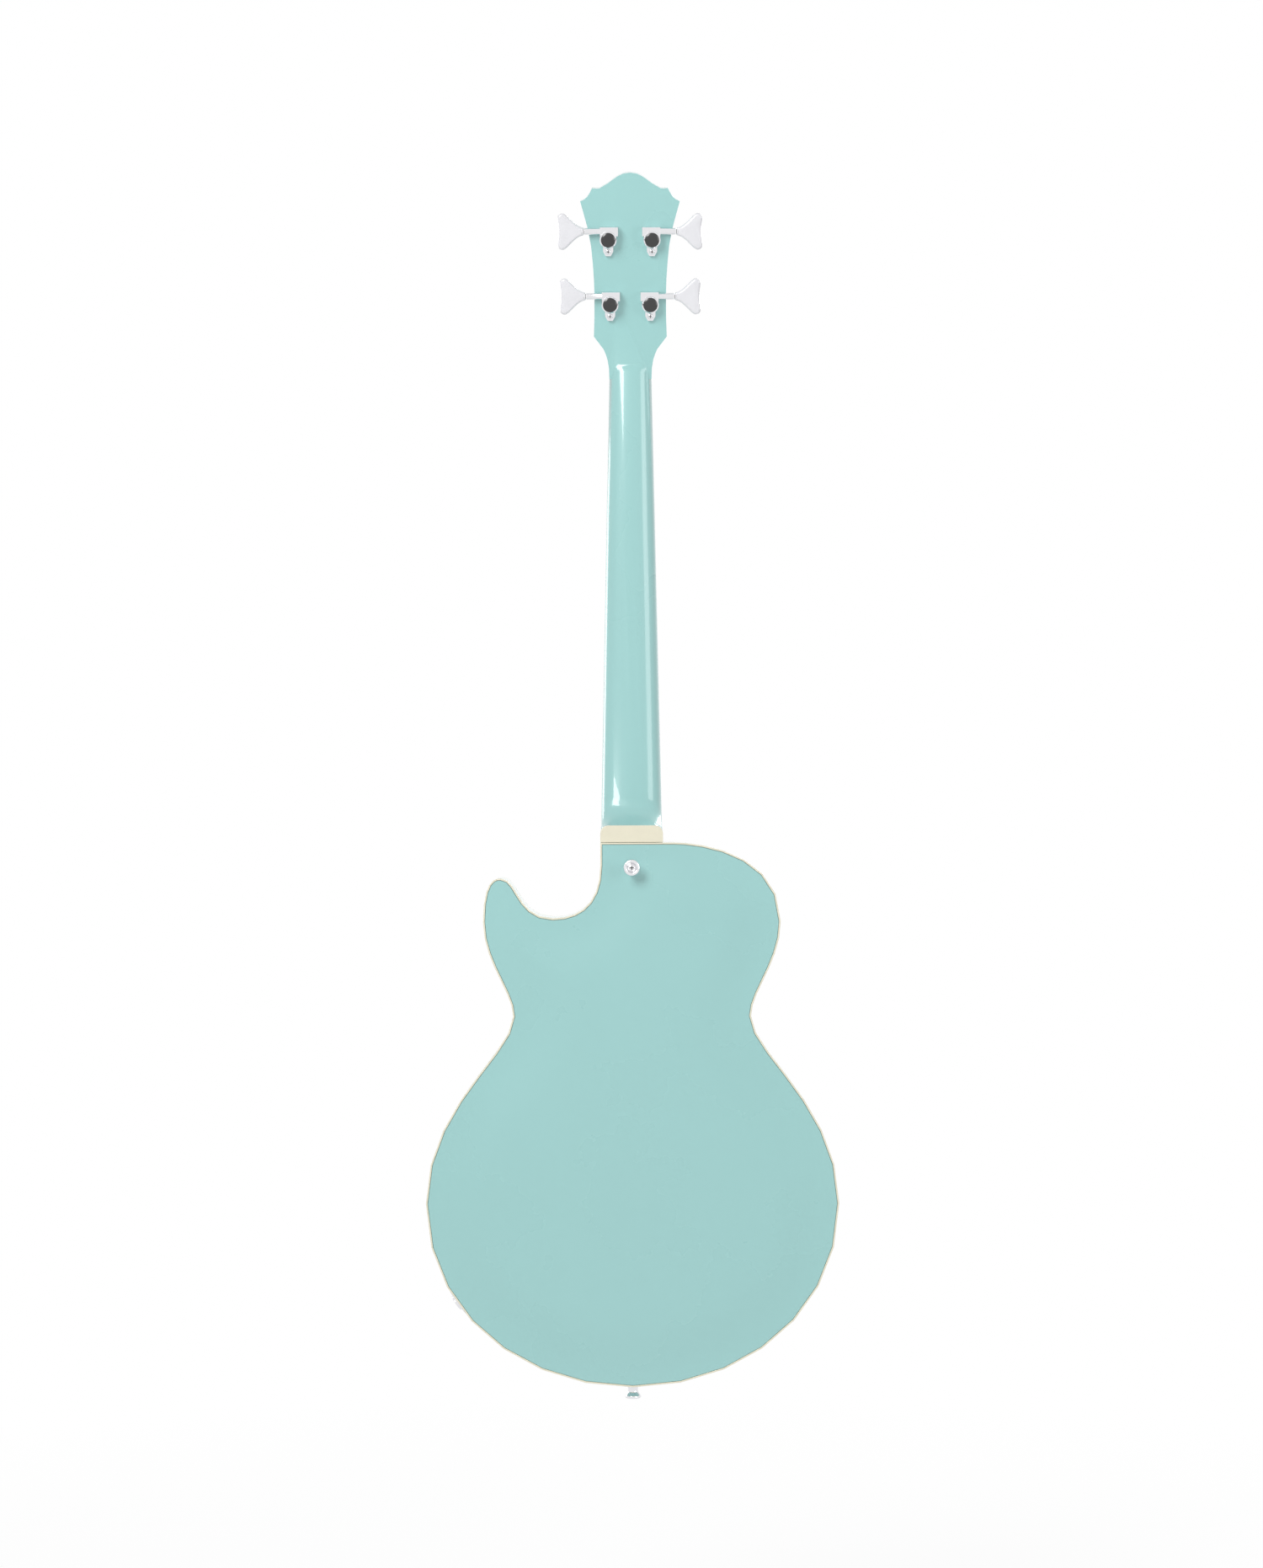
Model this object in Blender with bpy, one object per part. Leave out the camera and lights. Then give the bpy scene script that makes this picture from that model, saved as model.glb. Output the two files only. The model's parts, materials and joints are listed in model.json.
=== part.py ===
"""Hollow-body short-scale bass guitar, modelled as its separate real pieces.

Metres. The origin is the middle of the end strap button's outer face. +Z runs up the neck, -Y is the
front with the strings, and +X is the treble side with the cutaway.
"""

import math

import bmesh
import bpy
import numpy as np
from mathutils import Matrix, Vector

# Clearances
FIT_GAP = 0.0003
TRIM_REACH = 0.060

# Body outline, seen from the front, heights measured from the bottom edge of the body
BODY_LENGTH = 0.482
LOWER_BOUT_WIDTH = 0.3658
LOWER_BOUT_HEIGHT = 0.1625
WAIST_WIDTH = 0.2106
WAIST_HEIGHT = 0.3285
UPPER_BOUT_WIDTH = 0.2635
UPPER_BOUT_HEIGHT = 0.412
SHOULDER_FLAT_END = 0.038
HORN_TIP_X = 0.1155
HORN_DROP = 0.0316
CUTAWAY_X = 0.0698
CUTAWAY_DROP = 0.0669
HEEL_DROP = 0.020
BOTTOM_PULL = 0.101
LOWER_BOUT_PULL_DOWN = 0.0947
LOWER_BOUT_PULL_UP = 0.086
WAIST_PULL_DOWN = 0.0326
WAIST_PULL_UP = 0.0216
UPPER_BOUT_PULL_DOWN = 0.0356
SHOULDER_PULL = 0.0649
SHOULDER_END_PULL = 0.0142
HORN_PULL_UP = 0.0426
HORN_TIP_PULL = 0.002
HORN_INNER_PULL = 0.0146
CUTAWAY_PULL_OUT = 0.032
CUTAWAY_PULL_IN = 0.0243
CUTAWAY_WALL_PULL = 0.033
CURVE_STEPS = 7

# Body section
RIM_DEPTH = 0.048
PLATE_THICKNESS = 0.004
SIDE_THICKNESS = 0.004
TOP_ARCH = 0.009
BACK_ARCH = 0.005
ARCH_SPAN = 0.048
RIM_FLAT = 0.008
ARCH_GRID = 0.024
BINDING_THICKNESS = 0.0015
BINDING_HEIGHT = 0.006
LINING_WIDTH = 0.008
LINING_HEIGHT = 0.013
NECK_BLOCK_WIDTH = 0.060
NECK_BLOCK_LENGTH = 0.075
NECK_BLOCK_OFFSET = -0.007
TAIL_BLOCK_WIDTH = 0.070
TAIL_BLOCK_LENGTH = 0.030
BRACE_X = 0.0545
BRACE_WIDTH = 0.007
BRACE_HEIGHT = 0.012
BRACE_BOTTOM = 0.055
BASS_BRACE_LENGTH = 0.370
TREBLE_BRACE_LENGTH = 0.340
BRIDGE_BLOCK_WIDTH = 0.098
BRIDGE_BLOCK_DEPTH = 0.016
BRIDGE_BLOCK_MARGIN = 0.013

# Sound holes
F_HOLE_X = 0.085
F_HOLE_HEIGHT = 0.208
F_HOLE_HALF_LENGTH = 0.055
F_HOLE_STEM_WIDTH = 0.010
F_HOLE_TIP_WIDTH = 0.004
F_HOLE_HOOK_X = 0.014
F_HOLE_EYE_DROP = 0.012
F_HOLE_EYE_RADIUS = 0.0065

# Neck
SCALE_LENGTH = 0.770
FRET_COUNT = 22
JOINT_FRET = 14
NECK_PITCH = math.radians(2.0)
FRET_PLANE_RISE = 0.0142
NUT_WIDTH = 0.038
JOINT_WIDTH = 0.0556
FRETBOARD_THICKNESS = 0.0055
FRETBOARD_OVERHANG = 0.011
FRETBOARD_RADIUS = 0.305
FRET_WIDTH = 0.0026
FRET_HEIGHT = 0.0011
NECK_DEPTH_AT_NUT = 0.0215
NECK_DEPTH_AT_HEEL = 0.024
HEEL_LENGTH = 0.0153
HEEL_SWEEP = 0.025
HEEL_CAP_THICKNESS = 0.002
HEEL_CAP_RADIUS = 0.007
TENON_WIDTH = 0.040
TENON_LENGTH = 0.045
TENON_BACK = 0.006
VOLUTE_START = -0.006
VOLUTE_SLOPE = math.radians(22)
NUT_THICKNESS = 0.005
NUT_RISE = 0.0032

# Headstock, in its own plane: half widths and heights from the nut's upper edge
HEAD_PITCH = math.radians(13)
HEAD_THICKNESS = 0.0145
HEAD_FACE_DROP = 0.004
HEAD_THROAT_HALF = 0.0188
HEAD_THROAT_Z = -0.014
HEAD_FLARE_HALF = 0.0238
HEAD_FLARE_Z = 0.0125
HEAD_EAR_HALF = 0.0325
HEAD_EAR_Z = 0.0240
HEAD_WAIST_HALF = 0.0318
HEAD_WAIST_Z = 0.0600
HEAD_SHOULDER_HALF = 0.0346
HEAD_SHOULDER_Z = 0.1040
HEAD_HORN_HALF = 0.0440
HEAD_HORN_Z = 0.1430
HEAD_STEP_HALF = 0.0334
HEAD_STEP_Z = 0.1545
HEAD_CROWN_FOOT_HALF = 0.0242
HEAD_CROWN_Z = 0.1680

# Truss rod
TRUSS_ROD_RADIUS = 0.003
TRUSS_ROD_DEPTH = 0.0108
TRUSS_ROD_LENGTH = 0.424
TRUSS_NUT_RADIUS = 0.004
TRUSS_NUT_LENGTH = 0.010
TRUSS_NUT_TOP = 0.018
TRUSS_POCKET_TOP = 0.030
TRUSS_POCKET_WIDTH = 0.012
TRUSS_COVER_WIDTH = 0.022
TRUSS_COVER_LENGTH = 0.040
TRUSS_COVER_FOOT = 0.002
TRUSS_COVER_THICKNESS = 0.002

# Strings, from bass to treble
STRING_NAMES = ("e", "a", "d", "g")
STRING_DIAMETERS = {"e": 0.00267, "a": 0.00216, "d": 0.00165, "g": 0.00114}
STRING_SPREAD_AT_NUT = 0.0285
STRING_SPREAD_AT_BRIDGE = 0.054
STRING_HEIGHT_AT_NUT = 0.0017
STRING_HEIGHT_AT_BRIDGE = 0.0057
WINDING_TURNS = 2.25
WINDING_GAP = 0.00045
WINDING_STEPS = 12
WINDING_START = 0.0062

# Tuners, in the headstock's plane; the outer strings use the lower pair
POST_LOWER_X = 0.0179
POST_LOWER_Z = 0.0530
POST_UPPER_X = 0.0194
POST_UPPER_Z = 0.1100
POST_RADIUS = 0.004
POST_CAP_RADIUS = 0.0052
POST_HEIGHT = 0.021
POST_CAP_HEIGHT = 0.004
POST_SLOT_WIDTH = 0.0022
POST_SLOT_DEPTH = 0.003
POST_BORE_GAP = 0.00035
GEAR_TEETH = 16
GEAR_RADIUS = 0.0047
GEAR_TOOTH_DEPTH = 0.0006
GEAR_THICKNESS = 0.0035
WORM_OFFSET = 0.0071
KEY_SHAFT_RADIUS = 0.0019
KEY_BORE_RADIUS = 0.0022
CASE_RADIUS = 0.0076
CASE_DEPTH = 0.0092
CASE_CAVITY_RADIUS = 0.0052
WORM_BLOCK_INNER = 0.0087
WORM_BLOCK_OUTER = 0.0073
WORM_BLOCK_HEIGHT = 0.0078
WORM_BLOCK_DEPTH = 0.0078
ARM_RADIUS = 0.00295
ARM_REACH = 0.021
TAB_WIDTH = 0.009
TAB_REACH = 0.0147
TAB_THICKNESS = 0.0026
SLEEVE_RADIUS = 0.0056
SLEEVE_HOLE_GAP = 0.0004
TUNER_WASHER_RADIUS = 0.0078
TUNER_WASHER_THICKNESS = 0.001
TUNER_NUT_RADIUS = 0.0066
TUNER_NUT_HEIGHT = 0.0027
KEY_COLLAR_RADIUS = 0.003
KEY_COLLAR_LENGTH = 0.001
BUTTON_LENGTH = 0.0224
BUTTON_HALF_HEIGHT = 0.016
BUTTON_STEM_HALF = 0.0035
BUTTON_LOBE_RADIUS = 0.0043
BUTTON_HOLLOW = 0.0012
BUTTON_THICKNESS = 0.007

# Bridge and tailpiece
BRIDGE_WIDTH = 0.092
BRIDGE_LENGTH = 0.020
BRIDGE_HEIGHT = 0.011
BRIDGE_LIFT = 0.0075
SADDLE_CHANNEL_LENGTH = 0.0135
SADDLE_CHANNEL_DEPTH = 0.0085
SADDLE_WIDTH = 0.015
SADDLE_LENGTH = 0.006
SADDLE_CREST_LENGTH = 0.0016
SADDLE_TRAVEL = 0.003
BRIDGE_POST_X = 0.040
BRIDGE_POST_RADIUS = 0.003
BRIDGE_POST_REACH = 0.006
THUMBWHEEL_RADIUS = 0.0078
THUMBWHEEL_THICKNESS = 0.003
TAILPIECE_DROP = 0.062
TAILPIECE_WIDTH = 0.098
TAILPIECE_LENGTH = 0.017
TAILPIECE_HEIGHT = 0.009
TAILPIECE_LIFT = 0.005
TAILPIECE_STRING_HOLE_GAP = 0.0007
TAIL_STUD_X = 0.0415
TAIL_STUD_RADIUS = 0.004
TAIL_STUD_FLANGE_RADIUS = 0.0065
TAIL_STUD_FLANGE_THICKNESS = 0.002
TAIL_STUD_HEAD_THICKNESS = 0.0018
STUD_BURIED = 0.012

# Pickups
PICKUP_WIDTH = 0.084
PICKUP_LENGTH = 0.039
PICKUP_DEPTH = 0.022
PICKUP_STRING_GAP = 0.0035
PICKUP_CORNER = 0.003
RING_MARGIN = 0.006
RING_REVEAL = 0.0035
RING_OPENING_GAP = 0.0005
TOP_CUT_GAP = 0.0012
NECK_PICKUP_DROP = 0.0325
BRIDGE_PICKUP_RISE = 0.048

# Controls: place on the top from the body's bottom edge
CONTROL_NAMES = ("neck_volume", "bridge_volume", "tone")
CONTROL_X = {"neck_volume": 0.128, "bridge_volume": 0.110, "tone": 0.080}
CONTROL_HEIGHTS = {"neck_volume": 0.1645, "bridge_volume": 0.1185, "tone": 0.0805}
KNOB_RADIUS = 0.0125
KNOB_TOP_RADIUS = 0.0112
KNOB_HEIGHT = 0.0145
KNOB_SHAFT_RADIUS = 0.0029
KNOB_RECESS_RADIUS = 0.0085
KNOB_RECESS_DEPTH = 0.0045
KNOB_LIFT = 0.0008
POT_RADIUS = 0.012
POT_CAN_DEPTH = 0.009
POT_BUSHING_RADIUS = 0.0037
POT_HOLE_RADIUS = 0.0041
POT_SHAFT_GAP = 0.0003
POT_NUT_RADIUS = 0.0065
POT_NUT_HEIGHT = 0.0026
SWITCH_X = -0.088
SWITCH_DROP = 0.078
SWITCH_BODY_WIDTH = 0.014
SWITCH_BODY_LENGTH = 0.020
SWITCH_BODY_DEPTH = 0.024
SWITCH_BUSHING_RADIUS = 0.0058
SWITCH_BORE_RADIUS = 0.0044
SWITCH_NUT_RADIUS = 0.0085
SWITCH_NUT_HEIGHT = 0.003
LEVER_RADIUS = 0.0012
LEVER_LENGTH = 0.027
LEVER_TIP_RADIUS = 0.0034
LEVER_TIP_LENGTH = 0.0095
LEVER_FOOT = 0.003

# Output jack on the rim of the lower bout's treble side
JACK_HEIGHT = 0.078
JACK_PLATE_RADIUS = 0.0165
JACK_PLATE_THICKNESS = 0.0018
JACK_BARREL_RADIUS = 0.0048
JACK_BORE_RADIUS = 0.0032
JACK_HOLE_RADIUS = 0.0052
JACK_NUT_RADIUS = 0.0072
JACK_NUT_HEIGHT = 0.0025
JACK_DEPTH = 0.022
JACK_FRAME_RADIUS = 0.0062
JACK_FRAME_DEPTH = 0.002

# Strap buttons
BUTTON_RADIUS = 0.0071
BUTTON_WAIST_RADIUS = 0.0045
STRAP_BUTTON_HEIGHT = 0.0135
STRAP_SCREW_RADIUS = 0.0018
STRAP_SCREW_LENGTH = 0.020
STRAP_SCREW_GAP = 0.0004
HEEL_BUTTON_DROP = 0.0219
HEEL_BUTTON_LIFT = 0.0012

# Sizes worked out from the ones above
BODY_BOTTOM = STRAP_BUTTON_HEIGHT + FIT_GAP
BODY_TOP = BODY_BOTTOM + BODY_LENGTH
RIM_Y = RIM_DEPTH / 2
HEEL_HALF_WIDTH = JOINT_WIDTH / 2
FRET_PLANE_Y = -RIM_Y - FRET_PLANE_RISE
TOP_SURFACE_Y = -RIM_Y - TOP_ARCH
MATERIALS = {}
GRIDS = {}


def fret_distance(number):
    """Distance of a fret from the nut along the fretboard."""
    return SCALE_LENGTH * (1 - 2 ** (-number / 12))


JOINT_DISTANCE = fret_distance(JOINT_FRET)
FRETBOARD_LENGTH = fret_distance(FRET_COUNT) + FRETBOARD_OVERHANG
NECK_TAPER = (JOINT_WIDTH - NUT_WIDTH) / JOINT_DISTANCE
NUT_POINT = Vector((
    0.0,
    FRET_PLANE_Y + JOINT_DISTANCE * math.sin(NECK_PITCH),
    BODY_TOP + JOINT_DISTANCE * math.cos(NECK_PITCH),
))
NECK_FRAME = Matrix.Translation(NUT_POINT) @ Matrix.Rotation(-NECK_PITCH, 4, "X")
HEAD_FRAME = (
    NECK_FRAME
    @ Matrix.Translation((0.0, HEAD_FACE_DROP, NUT_THICKNESS))
    @ Matrix.Rotation(-HEAD_PITCH, 4, "X")
)
BRIDGE_Z = (NECK_FRAME @ Vector((0.0, -STRING_HEIGHT_AT_BRIDGE, -SCALE_LENGTH))).z
TAILPIECE_Z = BRIDGE_Z - TAILPIECE_DROP
FRETBOARD_END_Z = (NECK_FRAME @ Vector((0.0, 0.0, -FRETBOARD_LENGTH))).z
BRIDGE_FLOOR_Y = TOP_SURFACE_Y - BRIDGE_LIFT
TAILPIECE_FLOOR_Y = TOP_SURFACE_Y - TAILPIECE_LIFT


# Scene helpers

def clear_scene():
    for obj in list(bpy.data.objects):
        bpy.data.objects.remove(obj)


def material(name, colour, roughness, metallic=0.0):
    """One Principled material for each name, made once."""
    if name not in MATERIALS:
        made = bpy.data.materials.new(name)
        made.use_nodes = True
        shader = made.node_tree.nodes["Principled BSDF"]
        shader.inputs["Base Color"].default_value = (*colour, 1.0)
        shader.inputs["Roughness"].default_value = roughness
        shader.inputs["Metallic"].default_value = metallic
        MATERIALS[name] = made
    return MATERIALS[name]


def mint_paint():
    return material("mint_paint", (0.36, 0.65, 0.62), 0.25)


def cream_plastic():
    return material("cream_plastic", (0.80, 0.74, 0.52), 0.35)


def chrome():
    return material("chrome", (0.80, 0.80, 0.82), 0.12, 1.0)


def bare_wood():
    return material("bare_wood", (0.62, 0.46, 0.28), 0.6)


def frame_empty(name, matrix):
    empty = bpy.data.objects.new(name, None)
    bpy.context.scene.collection.objects.link(empty)
    empty.matrix_world = matrix
    return empty


def add_object(name, points, faces, finish=None, parent=None, at=(0, 0, 0)):
    """A mesh object from points and faces, with its normals facing out."""
    mesh = bpy.data.meshes.new(name)
    built = bmesh.new()
    for point in points:
        built.verts.new(point)
    built.verts.ensure_lookup_table()
    for face in faces:
        built.faces.new([built.verts[i] for i in face])
    bmesh.ops.recalc_face_normals(built, faces=built.faces)
    built.to_mesh(mesh)
    built.free()
    obj = bpy.data.objects.new(name, mesh)
    bpy.context.scene.collection.objects.link(obj)
    obj.parent = parent
    obj.location = at
    if finish is not None:
        mesh.materials.append(finish)
        mesh.shade_smooth()
        mesh.set_sharp_from_angle(angle=math.radians(30))
    else:
        obj.hide_render = True
        obj.display_type = "WIRE"
    return obj


def combine(obj, other, operation):
    """Joins another solid to obj, or cuts it away, and keeps it hidden as a helper."""
    modifier = obj.modifiers.new(operation.lower(), "BOOLEAN")
    modifier.operation = operation
    modifier.object = other
    other.hide_render = True
    other.display_type = "WIRE"
    return obj


def cut(obj, *cutters):
    for cutter in cutters:
        combine(obj, cutter, "DIFFERENCE")
    return obj


def join(obj, *others):
    for other in others:
        combine(obj, other, "UNION")
    return obj


def bevel(obj, width, segments=1):
    modifier = obj.modifiers.new("bevel", "BEVEL")
    modifier.width = width
    modifier.segments = segments
    modifier.limit_method = "ANGLE"
    modifier.angle_limit = math.radians(40)
    return obj


def box(name, low, high, **where):
    """A box between two opposite corners."""
    (x0, y0, z0), (x1, y1, z1) = low, high
    points = [(x, y, z) for z in (z0, z1) for y in (y0, y1) for x in (x0, x1)]
    faces = [(0, 1, 3, 2), (4, 5, 7, 6), (0, 1, 5, 4), (2, 3, 7, 6), (0, 2, 6, 4), (1, 3, 7, 5)]
    return add_object(name, points, faces, **where)


def prism(name, outline, y0, y1, **where):
    """An outline of (x, z) points extruded along Y."""
    count = len(outline)
    points = [(x, y, z) for y in (y0, y1) for x, z in outline]
    faces = [tuple(range(count)), tuple(range(2 * count - 1, count - 1, -1))]
    faces += [(i, (i + 1) % count, count + (i + 1) % count, count + i) for i in range(count)]
    return add_object(name, points, faces, **where)


def turned(name, profile, segments=16, axis="Y", **where):
    """A profile of (radius, height) pairs spun about the object's own axis, closed at both ends."""
    points = []
    rings = []
    for radius, height in profile:
        steps = 1 if radius == 0 else segments
        rings.append(range(len(points), len(points) + steps))
        for i in range(steps):
            angle = 2 * math.pi * i / segments
            across = (radius * math.cos(angle), radius * math.sin(angle))
            points.append({
                "X": (height, across[0], across[1]),
                "Y": (across[0], height, across[1]),
                "Z": (across[0], across[1], height),
            }[axis])
    faces = []
    for low, high in zip(rings, rings[1:]):
        for i in range(segments):
            j = (i + 1) % segments
            corners = [low[i % len(low)], low[j % len(low)], high[j % len(high)], high[i % len(high)]]
            corner_set = list(dict.fromkeys(corners))
            if len(corner_set) > 2:
                faces.append(tuple(corner_set))
    for ring in (rings[0], rings[-1]):
        if len(ring) > 1:
            faces.append(tuple(ring))
    return add_object(name, points, faces, **where)


def loft(name, sections, **where):
    """A solid through closed sections that have the same number of points."""
    count = len(sections[0])
    points = [point for section in sections for point in section]
    last = len(points) - count
    faces = [tuple(range(count)), tuple(range(last, last + count))]
    for s in range(len(sections) - 1):
        for i in range(count):
            j = (i + 1) % count
            faces.append((s * count + i, s * count + j, (s + 1) * count + j, (s + 1) * count + i))
    return add_object(name, points, faces, **where)


def smooth_path(points, steps):
    """Points along a Catmull-Rom curve through the given ones."""
    placed = [Vector(p) for p in points]
    ends = [placed[0] * 2 - placed[1], *placed, placed[-1] * 2 - placed[-2]]
    path = []
    for a, b, c, d in zip(ends, ends[1:], ends[2:], ends[3:]):
        for i in range(steps):
            t = i / steps
            path.append(
                0.5 * ((2 * b) + (c - a) * t + (2 * a - 5 * b + 4 * c - d) * t**2
                       + (3 * b - a - 3 * c + d) * t**3)
            )
    return [*path, placed[-1]]


# Body outline

def bezier(start, pull_start, pull_end, end, steps=CURVE_STEPS):
    """Points of one cubic curve in the outline's plane, without its last point."""
    curve = []
    for i in range(steps):
        t = i / steps
        curve.append(tuple(
            (1 - t) ** 3 * a + 3 * (1 - t) ** 2 * t * b + 3 * (1 - t) * t**2 * c + t**3 * d
            for a, b, c, d in zip(start, pull_start, pull_end, end)
        ))
    return curve


def lower_half(side):
    """From the body's bottom to the waist on one side: +1 is the treble side."""
    bout = (side * LOWER_BOUT_WIDTH / 2, LOWER_BOUT_HEIGHT)
    waist = (side * WAIST_WIDTH / 2, WAIST_HEIGHT)
    return [
        *bezier((0, 0), (side * BOTTOM_PULL, 0), (bout[0], bout[1] - LOWER_BOUT_PULL_DOWN), bout),
        *bezier(bout, (bout[0], bout[1] + LOWER_BOUT_PULL_UP), (waist[0], waist[1] - WAIST_PULL_DOWN), waist),
    ]


def waist_to_bout(side):
    waist = (side * WAIST_WIDTH / 2, WAIST_HEIGHT)
    bout = (side * UPPER_BOUT_WIDTH / 2, UPPER_BOUT_HEIGHT)
    return bezier(
        waist, (waist[0], waist[1] + WAIST_PULL_UP), (bout[0], bout[1] - UPPER_BOUT_PULL_DOWN), bout
    )


def body_outline():
    """The body's edge as (x, z) points, anticlockwise from its bottom as seen from the front."""
    bout = (UPPER_BOUT_WIDTH / 2, UPPER_BOUT_HEIGHT)
    tip = (HORN_TIP_X, BODY_LENGTH - HORN_DROP)
    floor = (CUTAWAY_X, BODY_LENGTH - CUTAWAY_DROP)
    wall = (HEEL_HALF_WIDTH, BODY_LENGTH - HEEL_DROP)
    corner = (HEEL_HALF_WIDTH, BODY_LENGTH)
    flat = (-SHOULDER_FLAT_END, BODY_LENGTH)
    treble = [
        *lower_half(1),
        *waist_to_bout(1),
        *bezier(bout, (bout[0], bout[1] + HORN_PULL_UP), (tip[0] + HORN_TIP_PULL, tip[1]), tip),
        *bezier(tip, (tip[0] - HORN_INNER_PULL, tip[1]), (floor[0] + CUTAWAY_PULL_OUT, floor[1]), floor),
        *bezier(floor, (floor[0] - CUTAWAY_PULL_IN, floor[1]), (wall[0], wall[1] - CUTAWAY_WALL_PULL), wall),
        wall,
        corner,
    ]
    shoulder = bezier(
        (-bout[0], bout[1]),
        (-bout[0], bout[1] + SHOULDER_PULL),
        (flat[0] - SHOULDER_END_PULL, flat[1]),
        flat,
    )
    bass = [*lower_half(-1), *waist_to_bout(-1), *shoulder, flat]
    outline = [*treble, *reversed(bass[1:])]
    return [(x, z + BODY_BOTTOM) for x, z in outline]


def inset(outline, distance):
    """The outline moved inwards by a distance, corners mitred."""
    moved = []
    count = len(outline)
    for i in range(count):
        before, here, after = (Vector(outline[(i + k) % count]) for k in (-1, 0, 1))
        first = (here - before).normalized()
        second = (after - here).normalized()
        inward = Vector((-(first.y + second.y), first.x + second.x)).normalized()
        square = inward.dot(Vector((-first.y, first.x)))
        moved.append(tuple(here + inward * (distance / square)))
    return moved


OUTLINE = body_outline()


def rim_ring(name, profile, **where):
    """A ring along the body's edge. The profile's points are (distance in from the edge, y)."""
    loops = [[(x, y, z) for x, z in inset(OUTLINE, depth)] for depth, y in profile]
    count = len(OUTLINE)
    points = [point for loop in loops for point in loop]
    faces = []
    for s in range(len(loops)):
        after = (s + 1) % len(loops)
        for i in range(count):
            j = (i + 1) % count
            faces.append((s * count + i, s * count + j, after * count + j, after * count + i))
    return add_object(name, points, faces, **where)


def edge_distance(x, z):
    """Distance of a place on a plate from the body's edge, 0 outside it."""
    starts = np.array(OUTLINE)
    ends = np.roll(starts, -1, axis=0)
    along = ends - starts
    offset = np.array((x, z)) - starts
    share = np.clip((offset * along).sum(axis=1) / (along**2).sum(axis=1), 0, 1)
    nearest = np.hypot(*(offset - along * share[:, None]).T).min()
    crosses = (starts[:, 1] > z) != (ends[:, 1] > z)
    safe = np.where(crosses, ends[:, 1] - starts[:, 1], 1.0)
    cut_x = starts[:, 0] + (z - starts[:, 1]) / safe * (ends[:, 0] - starts[:, 0])
    return nearest if (crosses & (cut_x > x)).sum() % 2 else 0.0


def arch_rise(x, z, arch):
    """How far a plate's surface stands above its rim: flat at the edge, then a smooth rise."""
    share = min(max((edge_distance(x, z) - RIM_FLAT) / ARCH_SPAN, 0.0), 1.0)
    return arch * share * share * (3 - 2 * share)


def arch_grid(arch):
    """The grid of a plate's surface: its columns and rows, its (x, z) places and their y from mid-depth."""
    if arch not in GRIDS:
        width = LOWER_BOUT_WIDTH + ARCH_GRID
        length = BODY_LENGTH + ARCH_GRID
        columns = math.ceil(width / ARCH_GRID)
        rows = math.ceil(length / ARCH_GRID)
        places = [
            (width * (i / columns - 0.5), BODY_BOTTOM - ARCH_GRID / 2 + length * j / rows)
            for j in range(rows + 1)
            for i in range(columns + 1)
        ]
        GRIDS[arch] = (columns, rows, places, [RIM_Y + arch_rise(x, z, arch) for x, z in places])
    return GRIDS[arch]


def surface_depth(x, z, arch):
    """The plate's own faceted surface at a place, as its distance from mid-depth."""
    columns, rows, places, rises = arch_grid(arch)
    (x0, z0), (x1, z1) = places[0], places[-1]
    across = (x - x0) / (x1 - x0) * columns
    up = (z - z0) / (z1 - z0) * rows
    i, j = int(across), int(up)
    u, v = across - i, up - j
    first = j * (columns + 1) + i
    low_left, low_right = rises[first], rises[first + 1]
    high_left, high_right = rises[first + columns + 1], rises[first + columns + 2]
    if i >= columns / 2:
        u, low_left, low_right, high_left, high_right = 1 - u, low_right, low_left, high_right, high_left
    if v <= u:
        return low_left + (low_right - low_left) * u + (high_right - low_right) * v
    return low_left + (high_left - low_left) * v + (high_right - high_left) * u


def surface_range(x, z, radius, arch):
    """The lowest and highest surface_depth under a round footprint."""
    depths = [surface_depth(x, z, arch)]
    for share in (0.5, 1.0):
        for step in range(16):
            turn = 2 * math.pi * step / 16
            depths.append(surface_depth(
                x + radius * share * math.cos(turn), z + radius * share * math.sin(turn), arch
            ))
    return min(depths), max(depths)


def arched_slab(name, arch, side, low_offset, high_offset, **where):
    """A grid slab between two copies of a plate's surface. side is -1 for the top and +1 for the back.

    An offset of None is a flat plane TRIM_REACH further than the rim, outwards for high_offset and
    inwards for low_offset.
    """
    columns, rows, places, rises = arch_grid(arch)
    points = []
    for offset, plane in ((low_offset, RIM_Y - TRIM_REACH), (high_offset, RIM_Y + TRIM_REACH)):
        for (x, z), rise in zip(places, rises):
            points.append((x, side * (plane if offset is None else rise + offset), z))
    wide = columns + 1
    layer = len(places)
    faces = []
    for j in range(rows):
        for i in range(columns):
            first = j * wide + i
            corners = (first, first + 1, first + wide + 1, first + wide)
            turn = 0 if i < columns / 2 else 1
            a, b, c, d = (corners[(k + turn) % 4] for k in range(4))
            for triangle in ((a, b, c), (a, c, d)):
                faces.append(triangle)
                faces.append(tuple(k + layer for k in triangle))
    border = [*range(wide), *range(2 * wide - 1, layer, wide)]
    border += [*range(layer - 2, layer - wide - 1, -1), *range(layer - 2 * wide, 0, -wide)]
    for a, b in zip(border, [*border[1:], border[0]]):
        faces.append((a, b, b + layer, a + layer))
    return add_object(name, points, faces, **where)


# Body

def body_plate(name, arch, side, finish):
    """An arched plate, trimmed to the inside of its binding."""
    plate = arched_slab(name, arch, side, -PLATE_THICKNESS, 0.0, finish=finish)
    edge = inset(OUTLINE, BINDING_THICKNESS + FIT_GAP)
    trim = prism(f"{name}_edge", edge, -TRIM_REACH, TRIM_REACH)
    return combine(plate, trim, "INTERSECT")


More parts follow.
